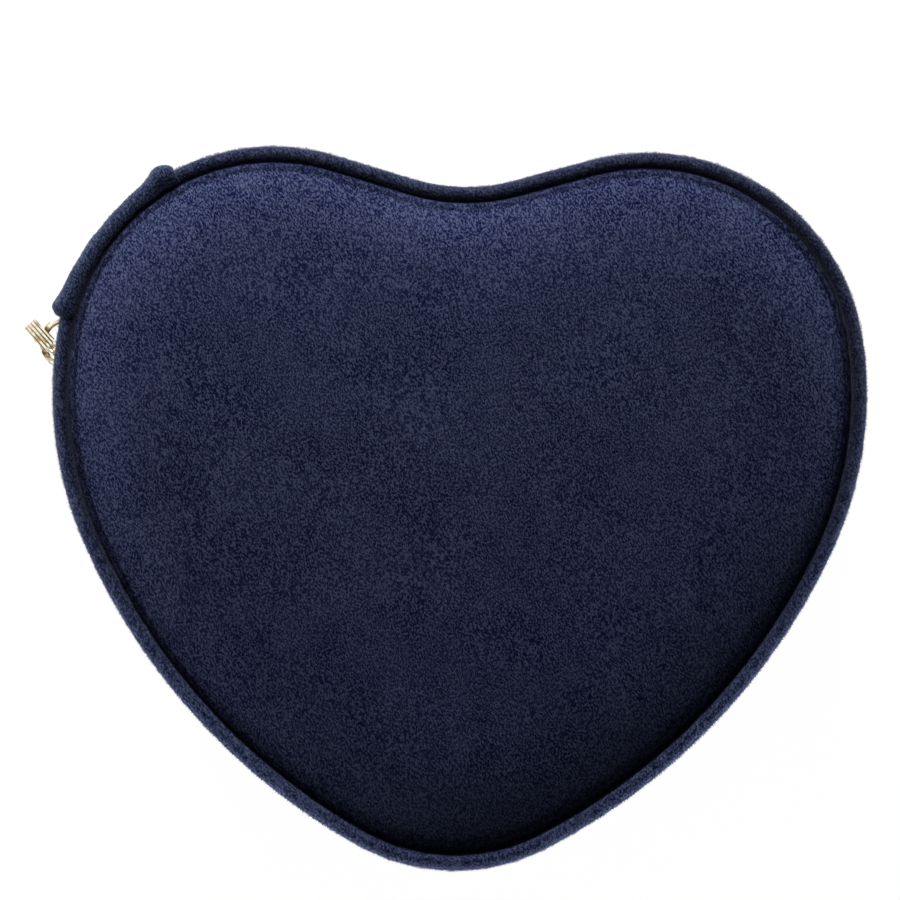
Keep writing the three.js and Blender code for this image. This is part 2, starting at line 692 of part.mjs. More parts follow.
// The tab widens from its neck to a round end with a small hole
function tabBlade() {
  const eyeFoot = EYE_Z - LINK_WIRE / 2 - GAP - EYE_WALL / 2;
  const shoulder = eyeFoot - TAB_NECK_DROP;
  const wide = shoulder - TAB_SHOULDER_DROP;
  const foot = EYE_Z - TAB_LENGTH;
  const r = TAB_WIDTH / 2;
  const shape = new THREE.Shape();
  shape.moveTo(TAB_NECK / 2, eyeFoot);
  shape.lineTo(-TAB_NECK / 2, eyeFoot);
  shape.lineTo(-TAB_NECK / 2, shoulder);
  shape.lineTo(-TAB_TOP_WIDTH / 2, wide);
  shape.lineTo(-r, foot + r);
  shape.absarc(0, foot + r, r, Math.PI, 2 * Math.PI);
  shape.lineTo(TAB_TOP_WIDTH / 2, wide);
  shape.lineTo(TAB_NECK / 2, shoulder);
  const hole = new THREE.Path();
  hole.absarc(0, foot + r, TAB_HOLE, 0, 2 * Math.PI, true);
  shape.holes.push(hole);
  const settings = { depth: TAB_THICK, bevelEnabled: false, curveSegments: 10 };
  const flat = new THREE.ExtrudeGeometry(shape, settings);
  return flat.translate(0, 0, -TAB_THICK / 2).rotateX(Math.PI / 2);
}

const pullTab = () => joinAll([tabEye(), tabBlade()]).translate(-LINK_OUT, 0, 0);

// The slider stands on the rim outline at its angle, and the pull hangs from its crown
function sliderGroup() {
  const { point } = rimAtAngle(findPiece('left_flank'), SLIDER_ANGLE);
  const slider = new THREE.Group();
  slider.position.set(point.x, point.y, ZIP_Z);
  slider.rotation.z = rad(SLIDER_ANGLE + 90);
  slider.add(mesh('slider_body', sliderBody(), gold));
  const pull = new THREE.Group();
  pull.position.y = CROWN_ROOT_IN - CROWN_RISE;
  pull.rotation.z = rad(PULL_YAW);
  pull.add(mesh('pull_link', pullLink(), gold));
  pull.add(mesh('pull_tab', pullTab(), gold));
  slider.add(pull);
  return slider;
}

function baseGroup() {
  const velvetTop = ZIP_Z - ZIP_BAND / 2;
  const velvetFoot = BASE_PIPING_Z + PIPING_RADIUS + GAP;
  const boardFoot = VELVET + GAP + BASE_BOARD + GAP;
  const group = new THREE.Group();
  group.add(
    mesh('base_bottom_velvet', slab(PLATE_IN, 0, VELVET), velvet),
    mesh('base_board', slab(PLATE_IN, VELVET + GAP, VELVET + GAP + BASE_BOARD), board),
    mesh('base_piping', piping(BASE_PIPING_Z), velvet),
    mesh('base_wall_velvet', wall(VELVET_IN, VELVET, velvetFoot, velvetTop), velvet),
    mesh('base_wall_board', wall(BOARD_IN, BOARD, boardFoot, velvetTop - LINING - GAP), board),
    mesh('base_floor_pad', slab(LINING_IN, boardFoot, boardFoot + FLOOR_PAD), suede),
    mesh('base_wall_lining', liningWithLip(TRAY_FLOOR_Z, velvetTop, true), suede),
    mesh('lobe_divider', crossDivider(LOBE_DIVIDER_Y), suede),
    mesh('tip_divider', crossDivider(TIP_DIVIDER_Y), suede),
    mesh('notch_divider', notchDivider(), suede),
    mesh('zip_tape_lower', zipTape(-1, LOWER_ZIP_START), tapeCloth),
    mesh('zip_teeth_lower', zipTeeth(-1, LOWER_ZIP_START), resin),
    mesh('hinge_strip_lower', hingeLeaf(BASE_PIPING_Z, -1), velvet),
  );
  for (let i = 0; i < ROLL_COUNT; i += 1) {
    group.add(mesh(`ring_roll_${i + 1}`, ringRoll(i), suede));
  }
  return group;
}

function lidGroup() {
  const velvetFoot = ZIP_Z + ZIP_BAND / 2;
  const boardFoot = velvetFoot + LINING + GAP;
  const boardTop = PANEL_EDGE_Z - GAP;
  const wallTop = LID_PIPING_Z - PIPING_RADIUS - GAP;
  const mirrorZ = PANEL_Z + MIRROR_POCKET - GAP - MIRROR;
  const group = new THREE.Group();
  group.add(
    mesh('lid_wall_velvet', wall(VELVET_IN, VELVET, velvetFoot, wallTop), velvet),
    mesh('lid_wall_board', wall(BOARD_IN, BOARD, boardFoot, boardTop - LID_BOARD - GAP), board),
    mesh('lid_wall_lining', liningWithLip(velvetFoot, PANEL_Z - GAP, false), suede),
    mesh('lid_lining_panel', lidLiningPanel(), suede),
    mesh('lid_mirror', slab(MIRROR_IN + GAP, mirrorZ, mirrorZ + MIRROR), silvered),
    mesh('lid_board', slab(PLATE_IN, boardTop - LID_BOARD, boardTop), board),
    mesh('lid_piping', piping(LID_PIPING_Z), velvet),
    mesh('lid_foam', lidFoam(), foam),
    mesh('lid_top_velvet', lidTopVelvet(), velvet),
    mesh('zip_tape_upper', zipTape(1, UPPER_ZIP_START), tapeCloth),
    mesh('zip_teeth_upper', zipTeeth(1, UPPER_ZIP_START), resin),
    mesh('hinge_strip_upper', hingeLeaf(LID_PIPING_Z, 1), velvet),
  );
  return group;
}

const jewelleryBox = new THREE.Group();
jewelleryBox.add(baseGroup(), lidGroup(), sliderGroup());

export default jewelleryBox;
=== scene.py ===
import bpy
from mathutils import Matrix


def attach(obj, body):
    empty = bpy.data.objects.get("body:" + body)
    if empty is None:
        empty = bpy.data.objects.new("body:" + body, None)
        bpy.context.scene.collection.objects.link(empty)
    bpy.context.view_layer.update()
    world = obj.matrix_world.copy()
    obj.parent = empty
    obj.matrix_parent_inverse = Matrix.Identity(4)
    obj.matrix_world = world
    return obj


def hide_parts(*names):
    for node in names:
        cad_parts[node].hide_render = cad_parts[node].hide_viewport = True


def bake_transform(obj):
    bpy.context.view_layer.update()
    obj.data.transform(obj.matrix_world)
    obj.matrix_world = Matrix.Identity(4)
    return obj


bl_info = {
    "name": "Heart Jewellery Box",
    "version": (1, 0, 0),
    "blender": (4, 5, 0),
    "location": "3D View > Sidebar > Jewellery Box",
    "description": "Covers, lines and fits out the zip-round heart jewellery box",
    "category": "Add Mesh",
}

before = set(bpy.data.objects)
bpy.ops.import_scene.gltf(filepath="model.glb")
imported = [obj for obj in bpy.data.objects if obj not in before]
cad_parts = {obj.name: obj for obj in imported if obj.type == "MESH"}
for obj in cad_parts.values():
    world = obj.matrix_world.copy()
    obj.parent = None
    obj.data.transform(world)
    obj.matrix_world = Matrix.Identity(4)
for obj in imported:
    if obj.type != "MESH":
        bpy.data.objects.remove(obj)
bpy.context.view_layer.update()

import math
import random
from collections import namedtuple

import bmesh
import bpy
from bpy.props import FloatProperty, FloatVectorProperty, IntProperty, PointerProperty
from mathutils import Matrix, Vector, noise

MM = 0.001

# Rim outline, seen from above: tangent arcs from the tip up to the notch, mirrored in X.
# Angles are the directions of the outward normal, in degrees from +X.
WIDTH = 150 * MM
TIP_RADIUS = 36.9 * MM
SIDE_RADIUS = 116.9 * MM
FLANK_RADIUS = 69.2 * MM
FLANK_FROM = -24.2
FLANK_TO = 9.3
LOBE_RADIUS = 40.2 * MM
LOBE_TO = 106
NOTCH_RADIUS = 34.2 * MM
RIM_STEP = 2.5 * MM
PLATE_IN = 29  # mm that the rings of a heart plate run in before its flat middle

# Heights and insets that the covered boards set
ZIP_Z = 29 * MM
LID_PIPING_Z = 47 * MM
BASE_PIPING_Z = 2.3 * MM
PIPING_RADIUS = 1.5 * MM
FLANGE_IN = 4.4 * MM  # how far the seam allowance of the piping runs in
TRAY_IN = 6.5 * MM
TRAY_FLOOR_Z = 5.2 * MM

# Zip and hinge strip
LOWER_ZIP_START = 169  # degrees about the centre of the left flank
UPPER_ZIP_START = 179
STRIP_FROM = 119.5  # degrees about the centre of the left lobe
ZIP_TUCK = 2  # degrees that the zip runs on under the strip
TEETH_IN = 3.4 * MM
SLIDER_ANGLE = 172.7  # where the slider is parked, about the centre of the left flank
PULL_YAW = 50  # degrees that the pull is turned from the slider's travel
LINK_OUT = 0.3  # mm that the middle of the link is outside the middle of the crown
STRIP_INSET = 1.3 * MM
STRIP_MIDDLE = 143

# Dividers and rolls
DIVIDER = 2.2 * MM
DIVIDER_TOP_Z = 19.7 * MM
FIT = 0.3 * MM  # play between a divider or a roll and the next
LOBE_DIVIDER_Y = 22.4 * MM
TIP_DIVIDER_Y = -21.6 * MM
ROLL_COUNT = 4
ROLL_HIGH = 13.6

# Pile of the velvet
PILE_STRETCH = 6 * MM
PILE_PATCHES = 6
PILE_TURN = math.radians(-65)
PILE_STREAK = 1.6
# Way that the panel's painted light and shade go by: slopes that lean away from it are painted darker
PAINTED_LIGHT_WAY = (-0.35, 0.94, 0.0)

Arc = namedtuple("Arc", "name centre radius start end run")


def mm(*numbers):
    """Numbers given in millimetres, in metres"""
    return tuple(number * MM for number in numbers)


def toward(degrees):
    turn = math.radians(degrees)
    return Vector((math.cos(turn), math.sin(turn)))


def heart_outline():
    """The arcs of the rim counterclockwise from the tip. A hollow arc has a negative radius."""
    flank = Vector((WIDTH / 2 - FLANK_RADIUS, 0))
    lobe = flank + toward(FLANK_TO) * (FLANK_RADIUS - LOBE_RADIUS)
    side = flank + toward(FLANK_FROM) * (FLANK_RADIUS - SIDE_RADIUS)
    tip = Vector((0, side.y - math.sqrt((SIDE_RADIUS - TIP_RADIUS) ** 2 - side.x**2)))
    side_from = math.degrees(math.atan2(tip.y - side.y, tip.x - side.x))
    out = toward(LOBE_TO)
    notch = Vector((0, (out.dot(lobe) + LOBE_RADIUS + NOTCH_RADIUS) / out.y))
    run = (notch - out * NOTCH_RADIUS - lobe - out * LOBE_RADIUS).length
    middle = Vector((0, (lobe.y + LOBE_RADIUS + tip.y - TIP_RADIUS) / 2))
    half = [
        Arc("tip", tip - middle, TIP_RADIUS, -90, side_from, 0),
        Arc("side", side - middle, SIDE_RADIUS, side_from, FLANK_FROM, 0),
        Arc("flank", flank - middle, FLANK_RADIUS, FLANK_FROM, FLANK_TO, 0),
        Arc("lobe", lobe - middle, LOBE_RADIUS, FLANK_TO, LOBE_TO, 0),
        Arc("straight", lobe - middle, LOBE_RADIUS, LOBE_TO, LOBE_TO, run),
        Arc("notch", notch - middle, -NOTCH_RADIUS, LOBE_TO, 90, 0),
    ]
    other = [
        Arc("left_" + a.name, Vector((-a.centre.x, a.centre.y)), a.radius, 180 - a.end, 180 - a.start, a.run)
        for a in reversed(half)
    ]
    return half + other


OUTLINE = heart_outline()
LOBE_CENTRE = next(arc.centre for arc in OUTLINE if arc.name == "left_lobe")


def arc_length(arc):
    return arc.run or abs(math.radians(arc.end - arc.start) * arc.radius)


ROUND = sum(arc_length(arc) for arc in OUTLINE)


def arc_point(arc, share):
    """A point of an arc by a share of its length, and the outward normal there"""
    normal = toward(arc.start + (arc.end - arc.start) * share)
    point = arc.centre + normal * arc.radius
    if arc.run:
        back = 1 if arc.name.startswith("left") else 0
        point = point + Vector((-normal.y, normal.x)) * arc.run * (share - back)
    return point, normal


def rim_at(distance):
    """The point of the rim at a distance from the tip, and the outward normal there"""
    distance %= ROUND
    for arc in OUTLINE:
        length = arc_length(arc)
        if distance <= length:
            return arc_point(arc, distance / length)
        distance -= length
    return arc_point(OUTLINE[-1], 1)


def rim_distance(name, degrees):
    """How far round the rim a direction on a named arc is"""
    distance = 0
    for arc in OUTLINE:
        if arc.name == name:
            return distance + arc_length(arc) * (degrees - arc.start) / (arc.end - arc.start)
        distance += arc_length(arc)
    raise ValueError(f"the rim has no arc named {name}")


def rim_place(x, y):
    """The distance round the rim and the inset of a point near it"""
    best = None
    distance = 0
    for arc in OUTLINE:
        length = arc_length(arc)
        offset = Vector((x, y)) - arc.centre
        if arc.run:
            start, normal = arc_point(arc, 0)
            along = (Vector((x, y)) - start).dot(Vector((-normal.y, normal.x)))
            share, inset = along / length, (start - Vector((x, y))).dot(normal)
        else:
            sign = 1 if arc.radius > 0 else -1
            degrees = math.degrees(math.atan2(sign * offset.y, sign * offset.x))
            middle = (arc.start + arc.end) / 2
            degrees += 360 * round((middle - degrees) / 360)
            share = (degrees - arc.start) / (arc.end - arc.start)
            inset = sign * (abs(arc.radius) - offset.length)
        if -0.001 <= share <= 1.001 and (best is None or abs(inset) < abs(best[1])):
            best = (distance + length * share, inset)
        distance += length
    return best or (0, 0)


def wall_point(distance, inset, z):
    point, normal = rim_at(distance)
    return Vector((point.x - normal.x * inset, point.y - normal.y * inset, z))


def rim_matrix(distance, inset, z):
    """Axes at a place on the rim: X along it clockwise, Y outwards and Z up"""
    _, normal = rim_at(distance)
    turn = Matrix(((normal.y, normal.x, 0), (-normal.x, normal.y, 0), (0, 0, 1)))
    return Matrix.Translation(wall_point(distance, inset, z)) @ turn.to_4x4()


def soften(corners, radius, steps=3):
    """A closed profile whose corners are turned into short curves"""
    soft = []
    for i, corner in enumerate(corners):
        here, before, after = Vector(corner), Vector(corners[i - 1]), Vector(corners[(i + 1) % len(corners)])
        a = here + (before - here).normalized() * min(radius, 0.45 * (before - here).length)
        b = here + (after - here).normalized() * min(radius, 0.45 * (after - here).length)
        for k in range(steps + 1):
            t = k / steps
            soft.append(a * (1 - t) ** 2 + here * (2 * t * (1 - t)) + b * t**2)
    return soft


def smooth_path(points, steps=4):
    """An open path through its points as one smooth curve"""
    points = [Vector(point) for point in points]
    made = []
    for i in range(len(points) - 1):
        p1, p2 = points[i], points[i + 1]
        p0 = points[i - 1] if i else p1 * 2 - p2
        p3 = points[i + 2] if i + 2 < len(points) else p2 * 2 - p1
        for k in range(steps):
            t = k / steps
            made.append(
                0.5 * (2 * p1 + (p2 - p0) * t + (2 * p0 - 5 * p1 + 4 * p2 - p3) * t**2
                       + (3 * p1 - p0 - 3 * p2 + p3) * t**3)
            )
    return made + [points[-1]]


def path_length(points):
    return sum((Vector(b) - Vector(a)).length for a, b in zip(points, points[1:]))


# Mesh


def draw_loop(bm, points, closed=True):
    """Vertices joined by edges, to be swept"""
    verts = [bm.verts.new(point) for point in points]
    ends = verts[1:] + verts[:1] if closed else verts[1:]
    return verts + [bm.edges.new(pair) for pair in zip(verts, ends)]


def turn_on(bm, geom, centre, axis, angle, steps):
    made = bmesh.ops.spin(bm, geom=geom, cent=centre, axis=axis, dvec=(0, 0, 0), angle=angle, steps=steps)
    return made["geom_last"]


def run_on(bm, geom, move):
    made = bmesh.ops.extrude_edge_only(bm, edges=edges_of(geom))["geom"]
    moved = verts_of(made)
    bmesh.ops.translate(bm, verts=moved, vec=move)
    return moved + [edge for edge in edges_of(made) if all(vert in moved for vert in edge.verts)]


def sweep_rim(bm, profile, start=0.0, stop=ROUND, closed=True):
    """Draws a profile of (inset, height) points round the rim, one arc after another"""
    geom = draw_loop(bm, [wall_point(start, inset, z) for inset, z in profile], closed)
    distance = 0
    for arc in OUTLINE + OUTLINE:
        length = arc_length(arc)
        part = min(stop, distance + length) - max(start, distance)
        distance += length
        if part < 1e-7:
            continue
        if arc.run:
            normal = toward(arc.start)
            geom = run_on(bm, geom, (-normal.y * part, normal.x * part, 0))
        else:
            centre = (arc.centre.x, arc.centre.y, 0)
            geom = turn_on(bm, geom, centre, (0, 0, 1), part / arc.radius, max(1, math.ceil(part / RIM_STEP)))
    if stop - start > ROUND - 1e-6:
        bmesh.ops.remove_doubles(bm, verts=bm.verts[:], dist=5e-6)
    else:
        close_ends(bm)
    face_outwards(bm)


def verts_of(geom):
    return [part for part in geom if isinstance(part, bmesh.types.BMVert)]


def edges_of(geom):
    return [part for part in geom if isinstance(part, bmesh.types.BMEdge)]


def face_outwards(bm):
    bmesh.ops.recalc_face_normals(bm, faces=bm.faces[:])


def move(bm, way):
    bmesh.ops.translate(bm, verts=bm.verts[:], vec=way)


def place_at(bm, matrix):
    bmesh.ops.transform(bm, matrix=matrix, verts=bm.verts[:])


def ease(bm, edges, offset, segments, clamp=True):
    """Rounds edges off"""
    bmesh.ops.bevel(
        bm, geom=edges, offset=offset, segments=segments, profile=0.5, affect="EDGES", material=-1, clamp_overlap=clamp)


def cube_at(bm, middle, size):
    """A block by its middle and size in millimetres"""
    place = Matrix.Translation(mm(*middle)) @ Matrix.Diagonal((*mm(*size), 1))
    bmesh.ops.create_cube(bm, size=1, matrix=place)


def profile_mm(points):
    return [mm(*point) for point in points]


def ring(x, y, radius, angles):
    """Points of a circle about (x, y)"""
    return [(x + radius * toward(angle).x, y + radius * toward(angle).y) for angle in angles]


def close_ends(bm):
    bmesh.ops.holes_fill(bm, edges=[edge for edge in bm.edges if edge.is_boundary], sides=0)


def heart_plate(bm, profile, grid=6 * MM):
    """A heart-shaped plate: a profile from the middle of one face, round the edge and back in
    to the middle of the other. Its flat middles are cut into a grid."""
    sweep_rim(bm, profile, closed=False)
    rims = [edge for edge in bm.edges if edge.is_boundary]
    filled = []
    for z in (profile[0][1], profile[-1][1]):
        ring = [edge for edge in rims if all(abs(v.co.z - z) < 1e-6 for v in edge.verts)]
        filled += bmesh.ops.edgeloop_fill(bm, edges=ring)["faces"]
    if grid:
        for axis in (0, 1):
            for k in range(-9, 10):
                normal = Vector((0, 0, 0))
                normal[axis] = 1
                part = filled + list({edge for face in filled for edge in face.edges})
                part += list({vert for face in filled for vert in face.verts})
                made = bmesh.ops.bisect_plane(bm, geom=part, dist=1e-6, plane_co=normal * (k * grid), plane_no=normal)
                filled = [face for face in made["geom"] if isinstance(face, bmesh.types.BMFace)]
    face_outwards(bm)


def stamp(bm, pattern, place):
    """Adds a copy of a small mesh at a place"""
    copy = pattern.copy()
    copy.transform(place)
    bm.from_mesh(copy)
    bpy.data.meshes.remove(copy)


def small_mesh(bm):
    mesh = bpy.data.meshes.new("pattern")
    bm.to_mesh(mesh)
    bm.free()
    return mesh


def finish_piece(name, bm, finish, body, replaces=(), sharp=None):
    """The mesh as an object of its own, in its finish and on its body"""
    mesh = bpy.data.meshes.new(name)
    bm.to_mesh(mesh)
    bm.free()
    mesh.polygons.foreach_set("use_smooth", [True] * len(mesh.polygons))
    if sharp:
        mesh.set_sharp_from_angle(angle=math.radians(sharp))
    mesh.materials.append(finish_material(finish))
    piece = bpy.data.objects.new(name, mesh)
    bpy.context.scene.collection.objects.link(piece)
    if body:
        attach(piece, body)
    if replaces:
        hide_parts(*replaces)
    return piece


# Finishes


def give(tree, node, inputs):
    """Gives each named input of a node a value or a link"""
    for key, value in inputs.items():
        if isinstance(value, bpy.types.NodeSocket):
            tree.links.new(value, node.inputs[key])
        else:
            node.inputs[key].default_value = value


def put(tree, kind, inputs, **settings):
    """Adds a node with its settings and its inputs"""
    node = tree.nodes.new(kind)
    for key, value in settings.items():
        setattr(node, key, value)
    give(tree, node, inputs)
    return node


def calculate(tree, operation, first, second=0.0):
    return put(tree, "ShaderNodeMath", {0: first, 1: second}, operation=operation).outputs[0]


def times(tree, first, second):
    return calculate(tree, "MULTIPLY", first, second)


def plus(tree, first, second):
    return calculate(tree, "ADD", first, second)


def vectors(tree, operation, first, second=(0.0, 0.0, 0.0)):
    return put(tree, "ShaderNodeVectorMath", {0: first, 1: second}, operation=operation).outputs


def blend_colours(tree, factor, first, second, way="MIX"):
    node = put(tree, "ShaderNodeMix", {0: factor, 6: first, 7: second}, data_type="RGBA", blend_type=way)
    return node.outputs[2]


def spread(tree, value, low, high, to_low=0.0, to_high=1.0):
    """A value spread out from a narrow range"""
    inputs = {"Value": value, "From Min": low, "From Max": high, "To Min": to_low, "To Max": to_high}
    return put(tree, "ShaderNodeMapRange", inputs, interpolation_type="SMOOTHSTEP").outputs[0]


def noise_at(tree, place, size, detail=2.0, roughness=0.5, distortion=0.0):
    """Noise whose spots are about this size, which may be a link"""
    inputs = {
        "Vector": place,
        "Scale": calculate(tree, "DIVIDE", 1.0, size),
        "Detail": detail,
        "Roughness": roughness,
        "Distortion": distortion,
    }
    return put(tree, "ShaderNodeTexNoise", inputs).outputs["Fac"]


def bumped(tree, height, strength, depth):
    inputs = {"Height": height, "Strength": strength, "Distance": depth * MM}
    return put(tree, "ShaderNodeBump", inputs).outputs[0]


def build_pile(tree, given, place):
    """Tufts of a pile: fine flecks along the way it leans, over broad patches where it lies flat.
    Painted light and shade on top: slopes that lean towards the tip are painted darker and edges that
    face outwards get a painted sheen, and piping is painted darker on its inner side and at the top and lighter towards
    the tip."""
    leaning = put(
        tree, "ShaderNodeMapping",
        {"Vector": place["Object"], "Rotation": (0.0, 0.0, PILE_TURN), "Scale": (PILE_STREAK, 1.0, 1.0)},
        vector_type="TEXTURE").outputs[0]
    tufts = 0.0
    for scale, weight in ((1.0, 0.83), (3.0, 0.12), (7.0, 0.05)):
        spots = noise_at(tree, leaning, times(tree, given["Fleck Size"], scale), 1.0)
        tufts = plus(tree, tufts, times(tree, spots, weight))
    patch = noise_at(tree, place["Object"], given["Patch Size"], 3.0, 0.55, 0.7)
    streak = noise_at(tree, leaning, times(tree, given["Patch Size"], 0.28), 2.0, 0.5)
    lie = plus(tree, times(tree, patch, 0.7), times(tree, streak, 0.3))
    # Slope and facing give the panel's painted shade and sheen; side and facing give the piping's painted light and
    # shade
    slope = vectors(tree, "DOT_PRODUCT", place["Normal"], PAINTED_LIGHT_WAY)["Value"]
    away = vectors(tree, "NORMALIZE", vectors(tree, "MULTIPLY", place["Object"], (1.0, 1.0, 0.0))[0])[0]
    facing = vectors(tree, "DOT_PRODUCT", place["Normal"], away)["Value"]
    side = put(tree, "ShaderNodeSeparateXYZ", {"Vector": away}).outputs["Y"]
    # Painted shade on the piping's inner side, deeper towards the top
    inner_painted_shade = spread(tree, side, -0.9, 0.3, 0.85, 0.38)
    return {
        "Fleck": spread(tree, tufts, 0.40, 0.66),
        "Patch": spread(tree, lie, 0.36, 0.64),
        # Painted shade on slopes that lean towards the tip, and painted sheen on edges that face outwards
        "Nap": times(tree, spread(tree, slope, -0.3, 0.02, 0.2, 1.0), spread(tree, facing, 0.05, 0.4, 1.0, 1.6)),
        # Painted shade on the piping's inner side, and painted light that is darker at the top and lighter towards the
        # tip
        "Bias Nap": times(
            tree, spread(tree, facing, -0.6, 0.5, inner_painted_shade, 1.25), spread(tree, side, -0.9, 0.9, 1.7, 0.52)),
        "Height": plus(tree, tufts, times(tree, lie, 0.15)),
    }


def build_weave(tree, given, place):
    """Twill of a narrow woven tape: ribs that cross in the tape's own UV map, in metres"""
    split = put(tree, "ShaderNodeSeparateXYZ", {"Vector": place["UV"]}).outputs
    turns = calculate(tree, "DIVIDE", 2 * math.pi, given["Rib Size"])
    slant = plus(tree, split["X"], times(tree, split["Y"], 0.6))
    warp, weft = (calculate(tree, "SINE", times(tree, way, turns)) for way in (slant, split["Y"]))
    rib = times(tree, plus(tree, times(tree, warp, weft), 1.0), 0.5)
    fluff = noise_at(tree, place["Object"], given["Rib Size"], 2.0)
    return {"Rib": rib, "Height": plus(tree, rib, times(tree, fluff, 0.4))}


def build_plating(tree, given, place):
    """Plated metal: cloudy tarnish in patches, which on the gold is also painted dark reflection, and fine marks from
    handling
    """
    cloud = noise_at(tree, place["Object"], given["Cloud Size"], 3.0, 0.6)
    long_marks = put(tree, "ShaderNodeMapping", {"Vector": place["Object"], "Scale": (1.0, 1.0, 0.12)}).outputs[0]
    marks = noise_at(tree, long_marks, times(tree, given["Cloud Size"], 0.05), 2.0)
    return {
        "Tarnish": spread(tree, cloud, 0.42, 0.66),
        "Marks": spread(tree, marks, 0.45, 0.75),
        "Height": plus(tree, marks, times(tree, cloud, 0.3)),
    }


def build_grain(tree, given, place):
    """Pressed grey board or foam: fibres or cells of one size, with darker specks"""
    fibres = noise_at(tree, place["Object"], given["Grain Size"], 4.0, 0.65)
    specks = noise_at(tree, place["Object"], times(tree, given["Grain Size"], 0.35), 1.0)
    return {"Grain": spread(tree, fibres, 0.3, 0.7), "Specks": spread(tree, specks, 0.6, 0.72), "Height": fibres}


EFFECTS = {
    "cloth_pile": (
        build_pile, {"Fleck Size": 0.0003, "Patch Size": 0.014}, ("Fleck", "Patch", "Nap", "Bias Nap", "Height")),
    "tape_weave": (build_weave, {"Rib Size": 0.0007}, ("Rib", "Height")),
    "metal_plating": (build_plating, {"Cloud Size": 0.004}, ("Tarnish", "Marks", "Height")),
    "pressed_grain": (build_grain, {"Grain Size": 0.0009}, ("Grain", "Specks", "Height")),
}


def effect(tree, name, values):
    """One of the shared effects, built once as a node group, and placed with its own values"""
    group = bpy.data.node_groups.get(name)
    if not group:
        build, inputs, outputs = EFFECTS[name]
        group = bpy.data.node_groups.new(name, "ShaderNodeTree")
        for label, value in inputs.items():
            socket = group.interface.new_socket(name=label, in_out="INPUT", socket_type="NodeSocketFloat")
            socket.default_value = value
        for label in outputs:
            group.interface.new_socket(name=label, in_out="OUTPUT", socket_type="NodeSocketFloat")
        start, end = group.nodes.new("NodeGroupInput"), group.nodes.new("NodeGroupOutput")
        place = group.nodes.new("ShaderNodeTexCoord")
        give(group, end, build(group, start.outputs, place.outputs))
    return put(tree, "ShaderNodeGroup", values, node_tree=group).outputs


def rgb(colour):
    return (*colour[:3], 1.0)


def shaded(colour, factor):
    """A colour multiplied by one number, or by one for each channel"""
    factors = factor if isinstance(factor, tuple) else (factor,) * 3
    return tuple(channel * part for channel, part in zip(colour, factors))


# Cut-pile cloths: whose tones they have and what multiplies the dark and the light one, sizes of
# the flecks and patches and depth of the pile in mm, sheen and its tint, the share of the flecks
# in the tone, and the nap, which names the painted light and shade that multiplies the tone
Pile = namedtuple("Pile", "tones dark light fleck patch depth sheen tint share nap")
PILES = {
    "velvet": Pile("velvet", 1, 1, 0.3, 13, 0.17, 0.14, (0.8, 0.86, 1.0), 0.88, None),
    "panel_velvet": Pile("velvet", 1, 1, 0.3, 13, 0.17, 0.14, (0.8, 0.86, 1.0), 0.88, "Nap"),
    "piping_velvet": Pile("piping", 1, 1, 0.3, 9, 0.2, 0.25, (0.78, 0.85, 1.0), 0.92, "Bias Nap"),
    "strip_velvet": Pile(
        "piping", (0.97, 1.0, 0.99), (0.97, 1.0, 0.99), 0.3, 8, 0.2, 0.2, (0.75, 0.85, 1.0), 0.92, "Bias Nap"),
    # Tufts painted lighter than the piping they stand on, as painted light on the pile, with the piping's painted shade
    # and light
    "pile_tips": Pile("piping", 2.0, 1.1, 0.6, 9, 0.02, 0.2, (0.75, 0.83, 0.95), 0.85, "Bias Nap"),
    # Darker than the panel's velvet: painted shade in the groove round the panel
    "edge_pile": Pile("velvet", 0.85, 0.85, 0.5, 9, 0.02, 0.05, (0.8, 0.86, 1.0), 0.85, None),
    "suede": Pile("suede", 1, 1, 0.3, 17, 0.12, 0.15, (0.6, 0.65, 0.85), 0.45, None),
}


def pile_cloth(tree, shader, colours, cloth):
    """Cut-pile cloth, whose tufts and patches run between two tones"""
    dark = shaded(getattr(colours, f"{cloth.tones}_dark"), cloth.dark)
    light = shaded(getattr(colours, f"{cloth.tones}_light"), cloth.light)
    pile = effect(tree, "cloth_pile", {"Fleck Size": cloth.fleck * MM, "Patch Size": cloth.patch * MM})
    tone = plus(tree, times(tree, pile["Fleck"], cloth.share), times(tree, pile["Patch"], 1 - cloth.share))
    colour = blend_colours(tree, tone, rgb(dark), rgb(light))
    # Multiplies the colour by the cloth's painted light and shade
    if cloth.nap:
        colour = blend_colours(tree, 1.0, colour, pile[cloth.nap], "MULTIPLY")
    give(tree, shader, {
        "Base Color": colour,
        "Normal": bumped(tree, pile["Height"], 0.7, cloth.depth),
        "Roughness": 1.0,
        "Specular IOR Level": 0.0,
        "Sheen Weight": cloth.sheen,
        "Sheen Roughness": 0.45,
        "Sheen Tint": rgb(cloth.tint),
    })


def edge_pile_finish(tree, shader, colours):
    """The pile in the groove round the panel, with painted shade that grows darker towards the tip of the heart"""
    pile_cloth(tree, shader, colours, PILES["edge_pile"])
    place = tree.nodes.new("ShaderNodeTexCoord").outputs["Object"]
    along = put(tree, "ShaderNodeSeparateXYZ", {"Vector": place}).outputs["Y"]
    colour = shader.inputs["Base Color"].links[0].from_socket
    # Painted shade: the pile is darkened towards the tip
    darker = spread(tree, along, -60 * MM, 25 * MM, 0.25, 1.0)
    give(tree, shader, {"Base Color": blend_colours(tree, 1.0, colour, darker, "MULTIPLY")})


def tape_finish(tree, shader, colours):
    weave = effect(tree, "tape_weave", {"Rib Size": 0.75 * MM})
    give(tree, shader, {
        "Base Color": blend_colours(tree, weave["Rib"], rgb(colours.tape), rgb(shaded(colours.tape, 1.9))),
        "Normal": bumped(tree, weave["Height"], 0.6, 0.15),
        "Roughness": 0.8,
        "Specular IOR Level": 0.2,
    })


